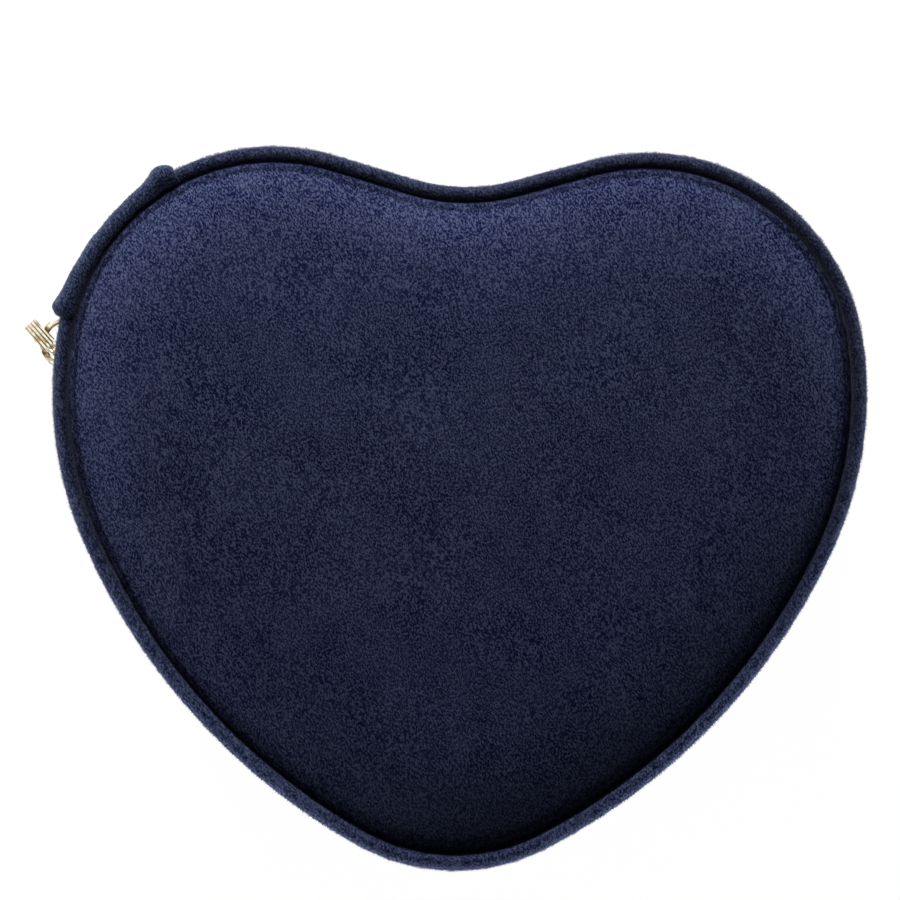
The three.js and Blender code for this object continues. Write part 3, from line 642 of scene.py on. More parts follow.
def grained(tree, shader, size, dark, light, strength, depth, specks=None):
    """Grain between two tones, with specks of a third where one is given"""
    grain = effect(tree, "pressed_grain", {"Grain Size": size * MM})
    colour = blend_colours(tree, grain["Grain"], rgb(dark), rgb(light))
    if specks:
        colour = blend_colours(tree, grain["Specks"], colour, rgb(specks))
    give(tree, shader, {"Base Color": colour, "Normal": bumped(tree, grain["Height"], strength, depth)})
    return grain


def thread_finish(tree, shader, colours):
    grained(tree, shader, 0.25, colours.tape, shaded(colours.tape, 2.4), 0.5, 0.06)
    give(tree, shader, {"Roughness": 0.6, "Specular IOR Level": 0.3})


def resin_finish(tree, shader, colours):
    grain = grained(tree, shader, 0.8, colours.resin, shaded(colours.resin, 1.5), 0.3, 0.05)
    give(tree, shader, {"Roughness": plus(tree, 0.3, times(tree, grain["Grain"], 0.15))})


def board_finish(tree, shader, colours):
    grained(tree, shader, 0.9, (0.22, 0.205, 0.175), (0.36, 0.34, 0.3), 0.5, 0.1, (0.12, 0.11, 0.1))
    give(tree, shader, {"Roughness": 0.95})


def foam_finish(tree, shader, colours):
    grained(tree, shader, 0.6, (0.62, 0.59, 0.5), (0.75, 0.72, 0.64), 0.8, 0.2, (0.4, 0.37, 0.3))
    give(tree, shader, {"Roughness": 1.0})


# deep is the darker shade of the tarnish patches, which are partly painted reflection
def gold_finish(tree, shader, colours, deep=(0.5, 0.36, 0.2)):
    plating = effect(tree, "metal_plating", {"Cloud Size": 1.5 * MM})
    worn = plus(tree, times(tree, plating["Marks"], 0.14), times(tree, plating["Tarnish"], 0.1))
    give(tree, shader, {
        # Tarnish and painted reflection: the gold is mixed towards a darker shade in cloudy patches
        "Base Color": blend_colours(tree, plating["Tarnish"], rgb(colours.gold), rgb(shaded(colours.gold, deep))),
        "Roughness": plus(tree, 0.12, worn),
        "Normal": bumped(tree, plating["Height"], 0.15, 0.04),
        "Metallic": 1.0,
    })


def tarnished_gold_painted_reflection_finish(tree, shader, colours):
    # Far darker patches on the slider: tarnish that also stands in for painted dark reflections
    gold_finish(tree, shader, colours, (0.14, 0.08, 0.035))


def mirror_finish(tree, shader, colours):
    plating = effect(tree, "metal_plating", {"Cloud Size": 14 * MM})
    give(tree, shader, {
        "Base Color": blend_colours(tree, plating["Tarnish"], rgb((0.9, 0.92, 0.93)), rgb((0.8, 0.82, 0.83))),
        "Roughness": plus(tree, 0.02, times(tree, plating["Tarnish"], 0.05)),
        "Metallic": 1.0,
    })


FINISHES = {
    "edge_pile": edge_pile_finish,
    "tape": tape_finish,
    "thread": thread_finish,
    "resin": resin_finish,
    "gold": gold_finish,
    "worn_gold": tarnished_gold_painted_reflection_finish,
    "mirror": mirror_finish,
    "greyboard": board_finish,
    "foam": foam_finish,
}


def finish_material(name):
    material = bpy.data.materials.get(f"box_{name}")
    if not material:
        material = bpy.data.materials.new(f"box_{name}")
        material.use_nodes = True
        tree, colours = material.node_tree, bpy.context.scene.case_colours
        shader = tree.nodes["Principled BSDF"]
        if name in FINISHES:
            FINISHES[name](tree, shader, colours)
        else:
            pile_cloth(tree, shader, colours, PILES[name])
    return material


# What a user may change


def length_setting(label, description, value):
    return FloatProperty(name=label, description=description, default=value, min=0.0, unit="LENGTH", precision=5)


def angle_setting(label, description, value):
    return FloatProperty(name=label, description=description, default=value, subtype="ANGLE")


def power_setting(label, description, value):
    return FloatProperty(name=label, description=description, default=value, unit="POWER")


def colour_setting(label, description, value):
    return FloatVectorProperty(
        name=label, description=description, default=value, subtype="COLOR", size=3, min=0.0, max=1.0)


class CaseSizes(bpy.types.PropertyGroup):
    """Sizes of the trimmings that the covered boards leave open"""

    pile_length: length_setting("Pile Length", "How far the velvet's pile stands out of the piping", 0.46 * MM)
    pile_width: length_setting("Pile Width", "Width of one tuft of the pile", 0.09 * MM)
    pile_count: IntProperty(name="Pile Count", description="Tufts on 6 mm of piping", default=360, min=1)
    edge_count: IntProperty(name="Edge Pile Count", description="Tufts on 6 mm of the panel's edge", default=320, min=1)
    pad_crown: length_setting("Pad Crown", "Rise of the padded panel from its shoulder to its middle", 2.7 * MM)
    tooth_pitch: length_setting("Tooth Pitch", "Distance between two teeth of one row", 2.6 * MM)
    stitch_pitch: length_setting("Stitch Pitch", "Distance between two stitches of the hem", 2.9 * MM)
    stitch_length: length_setting("Stitch Length", "Length of one stitch of the hem", 2.1 * MM)
    strip_cloth: length_setting("Strip Cloth", "Thickness of the hinge strip's velvet", 0.36 * MM)


class CaseColours(bpy.types.PropertyGroup):
    """Colours of the finishes"""

    velvet_dark: colour_setting("Velvet Shade", "The velvet between its tufts", (0.0015, 0.0028, 0.0195))
    velvet_light: colour_setting("Velvet Tone", "The velvet's tufts", (0.042, 0.050, 0.099))
    # Piping and strip velvet, lighter than the panel's: painted light that keeps them bright in shade
    piping_dark: colour_setting(
        "Piping Shade", "The velvet of piping and strip between its tufts", (0.003, 0.0048, 0.0215))
    piping_light: colour_setting("Piping Tone", "The tufts of the velvet of piping and strip", (0.050, 0.061, 0.115))
    suede_dark: colour_setting("Lining Shade", "The lining's nap brushed one way", (0.014, 0.018, 0.046))
    suede_light: colour_setting("Lining Tone", "The lining's nap brushed the other way", (0.034, 0.042, 0.092))
    tape: colour_setting("Tape", "The zip's woven tape", (0.0085, 0.0105, 0.032))
    resin: colour_setting("Teeth", "The zip's moulded teeth", (0.012, 0.015, 0.042))
    gold: colour_setting("Gold", "The plating of the slider and its pull", (1.0, 0.92, 0.70))


class StageSettings(bpy.types.PropertyGroup):
    """Camera and lamps"""

    camera_distance: length_setting("Camera Distance", "From the camera to the lid", 3.0)
    camera_tilt: angle_setting("Camera Tilt", "How far the camera leans towards the tip", math.radians(1.4))
    camera_roll: angle_setting("Camera Roll", "How far the heart is turned in the picture", 0.017)
    frame_width: length_setting("Frame Width", "Width of the picture at the lid", 165.73 * MM)
    key_power: power_setting("Key Lamp", "Power of the lamp behind the heart", 2.2)
    low_power: power_setting("Low Lamp", "Power of each low lamp round the box", 4.0)
    sky: FloatProperty(name="Sky", description="Strength of the light from all sides", default=0.1, min=0.0)


# Covering


class BOX_OT_walls(bpy.types.Operator):
    """Velvet round the walls of base and lid, with the turned hems along the zip"""

    bl_idname = "jewellery_box.walls"
    bl_label = "Velvet Walls"

    def execute(self, context):
        for name, body, low, high, hem in (
            ("base_velvet_wall", "base", 4.1, 24.0, 1),
            ("lid_velvet_wall", "lid", 34.0, 45.2, -1),
        ):
            outside = [(2.1, 0.0), (1.9, 0.25), (1.86, 0.5), (1.9, 0.78), (2.06, 0.84), (1.82, 0.9), (1.86, 0.96)]
            span = high - low
            levels = [(inset, low + span * share if hem > 0 else high - span * share) for inset, share in outside]
            edge = high if hem > 0 else low
            back = low if hem > 0 else high
            turned = [(2.1, edge), (2.75, edge), (2.9, edge - hem * 0.3), (2.9, back)]
            profile = soften(profile_mm(levels + turned), 0.35 * MM, 2)
            bm = bmesh.new()
            sweep_rim(bm, profile)
            wall = finish_piece(name, bm, "velvet", body, [f"{body}_wall_velvet"])
        return {"FINISHED"}


def add_tuft(bm, foot, lean, length, wide):
    """One tuft: a thin cone that stands on a point along a direction"""
    stand = lean.to_track_quat("Z", "Y").to_matrix().to_4x4()
    place = Matrix.Translation(foot) @ stand @ Matrix.Translation((0, 0, 0.42 * length))
    bmesh.ops.create_cone(bm, cap_ends=False, segments=3, radius1=wide / 2, radius2=0, depth=length, matrix=place)


def piping_tuft(rng):
    """Where a tuft stands on the piping's section, (outwards, up) from the rim, and which way"""
    out = toward(rng.uniform(-80, 135))
    return out * PIPING_RADIUS - Vector((PIPING_RADIUS, 0)), out


def edge_tuft(rng):
    """The same on the rounded edge of the padded panel"""
    share = rng.random()
    foot = Vector((-3.05 * MM - share * 1.3 * MM, 0.5 * MM + share**0.5 * 0.85 * MM))
    return foot, Vector((0.85 - 0.5 * share, 0.55 + 0.5 * share))


def pile_patch(rng, sizes, count, where, long):
    """Tufts of pile on a short stretch of a rim, which lies along X"""
    bm = bmesh.new()
    for _ in range(count):
        foot, out = where(rng)
        lean = Vector((rng.gauss(0.1, 0.4), out.x + rng.gauss(0, 0.3), out.y + rng.gauss(0, 0.3)))
        length = long * rng.uniform(0.5, 1.15)
        along = rng.uniform(-0.5, 0.5) * PILE_STRETCH
        add_tuft(bm, Vector((along, *foot)), lean, length, sizes.pile_width)
    return small_mesh(bm)


def line_with_pile(rng, sizes, name, finish, body, count, where, long, z):
    """Patches of pile, one after another, all the way round the rim"""
    patches = [pile_patch(rng, sizes, count, where, long) for _ in range(PILE_PATCHES)]
    bm = bmesh.new()
    places = round(ROUND / PILE_STRETCH)
    for k in range(places):
        stamp(bm, rng.choice(patches), rim_matrix(ROUND * (k + 0.5) / places, 0, z))
    for patch in patches:
        bpy.data.meshes.remove(patch)
    finish_piece(name, bm, finish, body)


class BOX_OT_piping(bpy.types.Operator):
    """Velvet-covered piping round the top of the lid and the foot of the base, and its pile"""

    bl_idname = "jewellery_box.piping"
    bl_label = "Piping"

    def execute(self, context):
        sizes = context.scene.case_sizes
        rng = random.Random(31)
        for body, z, low, high in (("lid", LID_PIPING_Z, 192, 202), ("base", BASE_PIPING_Z, 229, 247)):
            profile = []
            for degrees in [*range(0, 190, 20), low, high, *range(260, 350, 20)]:
                out = toward(degrees)
                point = (PIPING_RADIUS * (1 - out.x), z + PIPING_RADIUS * out.y)
                flange = [(FLANGE_IN, point[1])] if degrees in (low, high) else []
                profile += flange + [point] if degrees == high else [point] + flange
            bm = bmesh.new()
            sweep_rim(bm, profile)
            for vert in bm.verts:
                _, inset = rim_place(vert.co.x, vert.co.y)
                if inset < 2 * PIPING_RADIUS:
                    vert.co += vert.normal * (noise.noise(vert.co / (5 * MM)) * 0.06 * MM)
            finish_piece(f"{body}_velvet_piping", bm, "piping_velvet", body, [f"{body}_piping"])
            line_with_pile(
                rng, sizes, f"{body}_piping_pile", "pile_tips", body, sizes.pile_count, piping_tuft, sizes.pile_length,
                z)
        return {"FINISHED"}


class BOX_OT_top_panel(bpy.types.Operator):
    """The padded velvet panel on the lid, and the foam inside it"""

    bl_idname = "jewellery_box.top_panel"
    bl_label = "Padded Panel"

    def execute(self, context):
        crown = context.scene.case_sizes.pad_crown
        shoulder = [(3.9, 46.75), (3.3, 46.8), (3.03, 47.1), (2.99, 47.5), (3.12, 47.88), (3.5, 48.13), (4.0, 48.25)]
        top = []
        for inset in (5, 6.5, 8.5, 11, 14, 18, 23, PLATE_IN):
            rise = 1 - (1 - min(1, (inset - 4.0) / 22)) ** 2.6
            top.append((inset * MM, 48.25 * MM + crown * rise))
        profile = [mm(PLATE_IN, 46.75)] + smooth_path(profile_mm(shoulder), 2) + top
        bm = bmesh.new()
        heart_plate(bm, profile, 4 * MM)
        for vert in bm.verts:
            if vert.co.z > 49 * MM:
                _, inset = rim_place(vert.co.x, vert.co.y)
                free = min(1.0, max(0.0, (inset - 5 * MM) / (8 * MM)))
                vert.co.z += noise.noise(vert.co / (17 * MM)) * 0.22 * MM * free
        panel = finish_piece("padded_velvet_panel", bm, "panel_velvet", "lid", ["lid_top_velvet"])
        sizes = context.scene.case_sizes
        line_with_pile(
            random.Random(7), sizes, "panel_edge_pile", "edge_pile", "lid", sizes.edge_count, edge_tuft,
            1.3 * sizes.pile_length, LID_PIPING_Z)
        bm = bmesh.new()
        edge = [(4.8, 46.72), (4.5, 47), (4.7, 47.5), (7, 48.1), (12, 48.7)]
        heart_plate(bm, profile_mm([(PLATE_IN, 46.72), *edge, (PLATE_IN, 48.9)]))
        foam = finish_piece("panel_foam", bm, "foam", "lid", ["lid_foam"])
        return {"FINISHED"}


class BOX_OT_underside(bpy.types.Operator):
    """Velvet under the bottom board"""

    bl_idname = "jewellery_box.underside"
    bl_label = "Underside"

    def execute(self, context):
        bm = bmesh.new()
        edge = smooth_path(profile_mm([(4.2, 0), (3.5, 0.15), (3.3, 0.5), (3.5, 0.8), (4.2, 0.9)]), 2)
        heart_plate(bm, [mm(PLATE_IN, 0), *edge, mm(PLATE_IN, 0.9)], 0)
        cloth = finish_piece("underside_velvet", bm, "velvet", "base", ["base_bottom_velvet"])
        return {"FINISHED"}


# Zip


def zip_range(row):
    start = rim_distance("left_flank", UPPER_ZIP_START if row > 0 else LOWER_ZIP_START)
    return start, rim_distance("left_lobe", STRIP_FROM + ZIP_TUCK) + ROUND


class BOX_OT_zip_tapes(bpy.types.Operator):
    """The two woven tapes of the zip"""

    bl_idname = "jewellery_box.zip_tapes"
    bl_label = "Zip Tapes"

    def execute(self, context):
        for row, name, body in ((1, "upper_zip_tape", "lid"), (-1, "lower_zip_tape", "base")):
            near, far = ZIP_Z + row * 3.3 * MM, ZIP_Z + row * 13 * MM
            corners = [(3.2 * MM, near), (3.2 * MM, far), (3.6 * MM, far), (3.6 * MM, near)]
            start, stop = zip_range(row)
            bm = bmesh.new()
            sweep_rim(bm, soften(corners, 0.15 * MM, 2), start, stop)
            layer = bm.loops.layers.uv.new("cloth")
            for face in bm.faces:
                places = [rim_place(*loop.vert.co.xy)[0] for loop in face.loops]
                for loop, place in zip(face.loops, places):
                    wrap = ROUND if max(places) - place > ROUND / 2 else 0
                    loop[layer].uv = (place + wrap, loop.vert.co.z)
            finish_piece(name, bm, "tape", body, [f"zip_tape_{name.split('_')[0]}"])
        return {"FINISHED"}


def tooth_pattern():
    """One tooth: X along the tape, Y outwards, and its head up from the mid-plane at 0"""
    bm = bmesh.new()
    cube_at(bm, (0, 0, -2.05), (1.55, 2.2, 1.7))
    for height, wide, deep in ((0.5, 0.62, 0.8), (0.45, 1.38, 1.1), (0.7, 0.98, 1.0), (0.25, 0.7, 0.8)):
        top = max(bm.faces, key=lambda face: face.calc_center_median().z)
        made = bmesh.ops.extrude_face_region(bm, geom=[top])["geom"]
        verts = verts_of(made)
        bmesh.ops.delete(bm, geom=[top], context="FACES_ONLY")
        bmesh.ops.translate(bm, verts=verts, vec=(0, 0, height * MM))
        centre = Matrix.Translation((0, 0, -verts[0].co.z))
        bmesh.ops.scale(bm, verts=verts, vec=(wide, deep, 1), space=centre)
    face_outwards(bm)
    return small_mesh(bm)


class BOX_OT_zip_teeth(bpy.types.Operator):
    """Two rows of moulded teeth that mesh, each on the corded edge of its tape"""

    bl_idname = "jewellery_box.zip_teeth"
    bl_label = "Zip Teeth"

    def execute(self, context):
        pitch = context.scene.case_sizes.tooth_pitch
        tooth = tooth_pattern()
        for row, name, body in ((1, "upper_zip_teeth", "lid"), (-1, "lower_zip_teeth", "base")):
            start, stop = zip_range(row)
            cord = ring(TEETH_IN, ZIP_Z + row * 2.75 * MM, 0.62 * MM, range(0, 360, 45))
            bm = bmesh.new()
            sweep_rim(bm, cord, start, stop)
            first = pitch if row > 0 else pitch / 2
            phase = rim_distance("left_flank", LOWER_ZIP_START)
            number = math.ceil((start - phase - first) / pitch + 0.5)
            while phase + first + number * pitch < stop - 0.5 * pitch:
                place = rim_matrix(phase + first + number * pitch, TEETH_IN, ZIP_Z)
                if row > 0:
                    place = place @ Matrix.Rotation(math.pi, 4, "Y")
                stamp(bm, tooth, place)
                number += 1
            finish_piece(name, bm, "resin", body, [f"zip_teeth_{name.split('_')[0]}"], sharp=40)
        bpy.data.meshes.remove(tooth)
        return {"FINISHED"}


def stitch_pattern(length):
    """One stitch along X, sunk at both ends"""
    bm = bmesh.new()
    bmesh.ops.create_cone(
        bm, cap_ends=True, segments=6, radius1=0.17 * MM, radius2=0.17 * MM, depth=length,
        matrix=Matrix.Rotation(math.pi / 2, 4, "Y"))
    long_edges = [edge for edge in bm.edges if abs(edge.verts[0].co.x - edge.verts[1].co.x) > length / 2]
    bmesh.ops.subdivide_edges(bm, edges=long_edges, cuts=3)
    for vert in bm.verts:
        share = abs(vert.co.x) / (length / 2)
        vert.co.y *= 1 - 0.5 * share**3
        vert.co.z *= 1 - 0.5 * share**3
        vert.co.y -= 0.22 * MM * share**2
    return small_mesh(bm)


class BOX_OT_stitches(bpy.types.Operator):
    """Rows of stitches that sew the velvet's hems to the zip"""

    bl_idname = "jewellery_box.stitches"
    bl_label = "Hem Stitches"

    def execute(self, context):
        sizes = context.scene.case_sizes
        stitch = stitch_pattern(sizes.stitch_length)
        count = round(ROUND / sizes.stitch_pitch)
        for name, body, z in (("base_hem_stitches", "base", 20.8), ("lid_hem_stitches", "lid", 35.8)):
            bm = bmesh.new()
            for k in range(count):
                stamp(bm, stitch, rim_matrix(ROUND * k / count, 1.93 * MM, z * MM))
            finish_piece(name, bm, "thread", body)
        bpy.data.meshes.remove(stitch)
        return {"FINISHED"}


# Hinge strip


def strip_section():
    """The strip's way up the box, in its middle: (inset, height, the height of the piping that it
    wraps or None, direction round that piping)"""

    def round_piping(z, turns):
        places = []
        for turn in turns:
            wrap = toward(turn) * (PIPING_RADIUS + (0.45 - 0.2 * max(0, min(1, turn / 90))) * MM)
            places.append((PIPING_RADIUS - wrap.x, z + wrap.y, z, turn))
        return places

    low = round_piping(BASE_PIPING_Z, (0, 18, 36, 52))
    straight = [(STRIP_INSET, z * MM, None, 0) for z in (6.9, 10, 15, 20, 24, 27, 29, 31, 34, 38, 42.4)]
    high = round_piping(LID_PIPING_Z, (-52, -34, -15, 5, 25, 45, 65, 85, 105, 124))
    return low + straight + high


def strip_plan():
    """The strip's way round the lobe: (degrees, how far it stands out), from the hem tucked
    under its lower end to the one under its upper end"""
    lower = [(162.5, 0), (165, 0), (167, -0.1), (168, -0.15), (167.8, 0.35), (167, 0.95), (166, 1.4), (164.8, 1.25)]
    lower += [(162.5, 0.85), (160, 0.55), (157, 0.32), (153, 0.2), (148, 0.08), (142, 0), (136, 0), (131, 0.1)]
    upper = [(128.5, 0.27), (126.3, 0.55), (124.4, 0.95), (122.8, 1.45), (121.2, 1.5), (119.8, 1.2), (118.8, 0.7)]
    upper += [(118.35, 0.25), (118.5, -0.05), (119.3, -0.15), (121, -0.05), (122.5, 0)]
    return lower + upper


class BOX_OT_hinge_strip(bpy.types.Operator):
    """One folded strip of velvet that joins the lid to the base and wraps both pipings"""

    bl_idname = "jewellery_box.hinge_strip"
    bl_label = "Hinge Strip"
    tufts = 9000

    def execute(self, context):
        cloth = context.scene.case_sizes.strip_cloth
        section = strip_section()
        path = smooth_path([(degrees, out * MM, 0) for degrees, out in strip_plan()], 3)
        bm = bmesh.new()
        bmesh.ops.create_grid(bm, x_segments=len(section) - 1, y_segments=len(path) - 1, size=1)
        for vert in bm.verts:
            inset, z, piping_z, turn = section[round((vert.co.x + 1) / 2 * (len(section) - 1))]
            degrees, out, _ = path[round((vert.co.y + 1) / 2 * (len(path) - 1))]
            if piping_z is None:
                inset -= out
            else:
                reach = out * max(0, toward(turn).x)
                inset -= reach * toward(turn).x
                z += reach * toward(turn).y
            vert.co = wall_point(rim_distance("left_lobe", degrees), inset, z)
            crease = noise.noise(Vector((degrees / 5, z / (9 * MM), 3)))
            vert.co += Vector((*toward(degrees), 0)) * (crease * 0.16 * MM)
        face_outwards(bm)
        bmesh.ops.smooth_vert(bm, verts=bm.verts[:], factor=0.25, use_axis_x=True, use_axis_y=True, use_axis_z=True)
        bm.faces.ensure_lookup_table()
        middle = bm.faces[len(bm.faces) // 2]
        if middle.normal.xy.dot(toward(STRIP_MIDDLE)) < 0:
            bmesh.ops.reverse_faces(bm, faces=bm.faces[:])
        for vert in bm.verts:
            vert.co += vert.normal * cloth / 2
        back = bmesh.ops.extrude_face_region(bm, geom=bm.faces[:])["geom"]
        bm.normal_update()
        shifts = [(vert, vert.normal * cloth) for vert in verts_of(back)]
        for vert, shift in shifts:
            vert.co -= shift
        rims = [e for e in bm.edges if len(e.link_faces) == 2 and e.calc_face_angle(0) > math.radians(60)]
        ease(bm, rims, cloth * 0.4, 2)
        face_outwards(bm)
        strip = finish_piece("velvet_hinge_strip", bm, "strip_velvet", None, ["hinge_strip_lower", "hinge_strip_upper"])
        pile = self.make_pile(strip)
        middle = wall_point(rim_distance("left_lobe", STRIP_MIDDLE), STRIP_INSET, 0)
        for piece in (strip, pile):
            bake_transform(piece)
        long = path_length([wall_point(rim_distance("left_lobe", p[0]), -p[1], 0) for p in path])
        return {"FINISHED"}

    def make_pile(self, strip):
        """Tufts all over the outside of the strip, each standing out along the face it grows from"""
        rng = random.Random(19)
        outer = [
            face for face in strip.data.polygons
            if face.normal.xy.dot(face.center.xy - LOBE_CENTRE) + face.normal.z * (face.center.z - ZIP_Z) > 0
        ]
        weights = [face.area for face in outer]
        bm = bmesh.new()
        for _ in range(self.tufts // 100):
            lock = bmesh.new()
            for face in rng.choices(outer, weights, k=100):
                corners = [strip.data.vertices[index].co for index in face.vertices]
                shares = [rng.random() for _ in corners]
                foot = sum((corner * share for corner, share in zip(corners, shares)), Vector()) / sum(shares)
                lean = face.normal + Vector((rng.gauss(0, 0.3), rng.gauss(0, 0.3), rng.gauss(0, 0.3)))
                add_tuft(lock, foot, lean, 0.42 * MM * rng.uniform(0.5, 1.15), 0.09 * MM)
            join_in(bm, lock)
        return finish_piece("hinge_strip_pile", bm, "pile_tips", None)


# Slider and pull


def slider_matrix():
    """Axes of the slider: X along its travel, Y inwards, Z up from the mid-plane"""
    point = wall_point(rim_distance("left_flank", SLIDER_ANGLE), 0, ZIP_Z)
    return Matrix.Translation(point) @ Matrix.Rotation(math.radians(SLIDER_ANGLE + 90), 4, "Z")


def pull_matrix():
    """Axes of the pull: X across it, Y through it, Z up from the middle of the crown"""
    return slider_matrix() @ Matrix.Translation(mm(0, -2.8, 0)) @ Matrix.Rotation(math.radians(PULL_YAW), 4, "Z")


def block(bm, low, high, round_off):
    """A block between two corners, in millimetres, with its edges rounded off"""
    part = bmesh.new()
    cube_at(part, [(a + b) / 2 for a, b in zip(low, high)], [b - a for a, b in zip(low, high)])
    ease(part, part.edges[:], round_off * MM, 2, False)
    join_in(bm, part)


def join_in(bm, part):
    mesh = small_mesh(part)
    bm.from_mesh(mesh)
    bpy.data.meshes.remove(mesh)


def slider_plate(bm, inset, thick):
    """A plate with a round nose, its tail corners cut, and its outer edges eased"""
    part = bmesh.new()
    cube_at(part, (0, inset + thick / 2, 0), (9.6, thick, 8.6))
    for side, offset, segments in ((1, 2.2, 5), (-1, 1.1, 3)):
        corners = [
            e for e in part.edges
            if abs(e.verts[0].co.y - e.verts[1].co.y) > thick * MM / 2 and side * e.verts[0].co.x > 4 * MM
        ]
        ease(part, corners, offset * MM, segments, False)
    rims = [e for e in part.edges if abs(e.verts[0].co.y - e.verts[1].co.y) < 1e-7]
    ease(part, rims, 0.28 * MM, 3)
    join_in(bm, part)


class BOX_OT_slider(bpy.types.Operator):
    """The slider: two plates with lips and a wedge between them, and the crown on the outer one"""

    bl_idname = "jewellery_box.slider"
    bl_label = "Slider"

    def execute(self, context):
        bm = bmesh.new()
        slider_plate(bm, 0.7, 1.2)
        slider_plate(bm, 4.9, 1.2)
        for z in (-4.3, 3.3):
            for low, high in ((1.7, 2.8), (4.0, 5.1)):
                block(bm, (-3.1, low, z), (3.1, high, z + 1), 0.15)
        block(bm, (1.4, 1.7, -0.3), (4.2, 5.1, 0.3), 0.12)
        arch = bmesh.new()
        section = soften(profile_mm([(0.55, 0.9), (-0.8, 0.9), (-0.8, -0.9), (0.55, -0.9)]), 0.4 * MM, 4)
        geom = draw_loop(arch, [(-4 * MM + a, 0, b) for a, b in section])
        turn_on(arch, geom, (0, 0, 0), (0, 0, 1), math.pi, 28)
        close_ends(arch)
        face_outwards(arch)
        bmesh.ops.scale(arch, verts=arch.verts[:], vec=(1, 0.925, 1))
        move(arch, mm(0, 0.9, 0))
        join_in(bm, arch)
        place_at(bm, slider_matrix())
        finish_piece("gold_slider", bm, "worn_gold", "slider", ["slider_body"], sharp=50)
        return {"FINISHED"}


class BOX_OT_pull(bpy.types.Operator):
    """The oval link through the crown and the tab that hangs from it"""

    bl_idname = "jewellery_box.pull"
    bl_label = "Pull"

    def execute(self, context):
        self.make_link()
        self.make_tab()
        return {"FINISHED"}

    def make_link(self):
        bm = bmesh.new()
        wire = [(x, y, 0.4 * MM) for x, y in ring(2.9 * MM, 0, 0.7 * MM, range(0, 360, 30))]
        geom = draw_loop(bm, wire)
        for x, z, run in ((1.7, 0.4, (-3.4, 0)), (-1.7, 0.4, (0, -3.6)), (-1.7, -2.9, (3.4, 0)), (1.7, -2.9, (0, 3.3))):
            geom = turn_on(bm, geom, mm(x, 0, z), (0, -1, 0), math.pi / 2, 7)
            geom = run_on(bm, geom, mm(run[0], 0, run[1]))
        bmesh.ops.remove_doubles(bm, verts=bm.verts[:], dist=2e-5)
        face_outwards(bm)
        move(bm, mm(-LINK_OUT, 0, 0))
        bar = bmesh.new()
        ridges = [(1.3 - 0.325 * k, 0.48 if k % 2 else 0.62) for k in range(9)]
        section = soften([mm(y, z) for y, z in [*ridges, (-1.3, -0.55), (1.3, -0.55)]], 0.09 * MM, 2)
        geom = draw_loop(bar, [(-3.85 * MM, y, z + 1.88 * MM) for y, z in section])
        run_on(bar, geom, mm(5.5, 0, 0))
        close_ends(bar)
        face_outwards(bar)
        join_in(bm, bar)
        place_at(bm, pull_matrix())
        finish_piece("gold_link", bm, "gold", "pull_link", ["pull_link"], sharp=50)

    def make_tab(self):
        bm = bmesh.new()
        eye = bmesh.new()
        section = soften(profile_mm([(1.4, 1.0), (1.4, 1.5), (-1.4, 1.5), (-1.4, 1.0)]), 0.18 * MM, 2)
        geom = draw_loop(eye, [(x, 0, r) for x, r in section])
        bmesh.ops.spin(
            eye, geom=geom, cent=(0, 0, 0), axis=(1, 0, 0), dvec=(0, 0, 0), angle=2 * math.pi, steps=28, use_merge=True)
        face_outwards(eye)
        move(eye, mm(0, 0, -4.1))
        join_in(bm, eye)
        side = [(3.5, -19.6), (3.1, -15.4), (2.7, -11.1), (2.3, -6.95), (2.1, -6.55), (1.35, -6.3)]
        side += [(1.2, -6.1), (1.2, -5.35)]
        outline = side + [(-x, z) for x, z in reversed(side)] + ring(0, -19.6, 3.5, range(-168, -11, 12))
        hole = ring(0, -19.6, 1.5, [360 * k / len(outline) for k in range(len(outline))])
        blade = bmesh.new()
        for loop in (outline, hole):
            draw_loop(blade, [(x * MM, -0.8 * MM, z * MM) for x, z in loop])
        bmesh.ops.bridge_loops(blade, edges=blade.edges[:])
        made = bmesh.ops.extrude_face_region(blade, geom=blade.faces[:])["geom"]
        bmesh.ops.translate(blade, verts=verts_of(made), vec=mm(0, 1.6, 0))
        face_outwards(blade)
        rims = [e for e in blade.edges if e.calc_face_angle(0) > math.radians(60)
                and abs(e.verts[0].co.y - e.verts[1].co.y) < 1e-7]
        ease(blade, rims, 0.3 * MM, 3)
        join_in(bm, blade)
        move(bm, mm(-LINK_OUT, 0, 0))
        place_at(bm, pull_matrix())
        finish_piece("gold_tab", bm, "gold", "pull_tab", ["pull_tab"], sharp=50)


# Lining


class BOX_OT_linings(bpy.types.Operator):
    """Suede up the inside of both walls, turned out over the edge of the board"""

    bl_idname = "jewellery_box.linings"
    bl_label = "Wall Linings"

    def execute(self, context):
        for name, body, edge, back in (("base_suede_lining", "base", 24, 5.2), ("lid_suede_lining", "lid", 34, 42.1)):
            fold = 1 if edge > back else -1
            corners = [(5.6, back), (5.6, edge - fold * 0.65), (4.0, edge - fold * 0.6)]
            corners += [(4.0, edge), (6.2, edge), (6.2, back)]
            bm = bmesh.new()
            sweep_rim(bm, soften(profile_mm(corners), 0.28 * MM, 3))
            lining = finish_piece(name, bm, "suede", body, [f"{body}_wall_lining"])
        return {"FINISHED"}


class BOX_OT_floor(bpy.types.Operator):
    """The padded floor of the trays"""

    bl_idname = "jewellery_box.floor"
    bl_label = "Tray Floor"

    def execute(self, context):
        bm = bmesh.new()
        edge = smooth_path(profile_mm([(6.4, 3.3), (5.75, 3.5), (5.6, 4.1), (5.8, 4.65), (6.4, 4.85)]), 2)
        heart_plate(bm, [mm(PLATE_IN, 3.3), *edge, mm(8, 4.95), mm(PLATE_IN, 4.95)])
        floor = finish_piece("suede_floor_pad", bm, "suede", "base", ["base_floor_pad"])
        return {"FINISHED"}


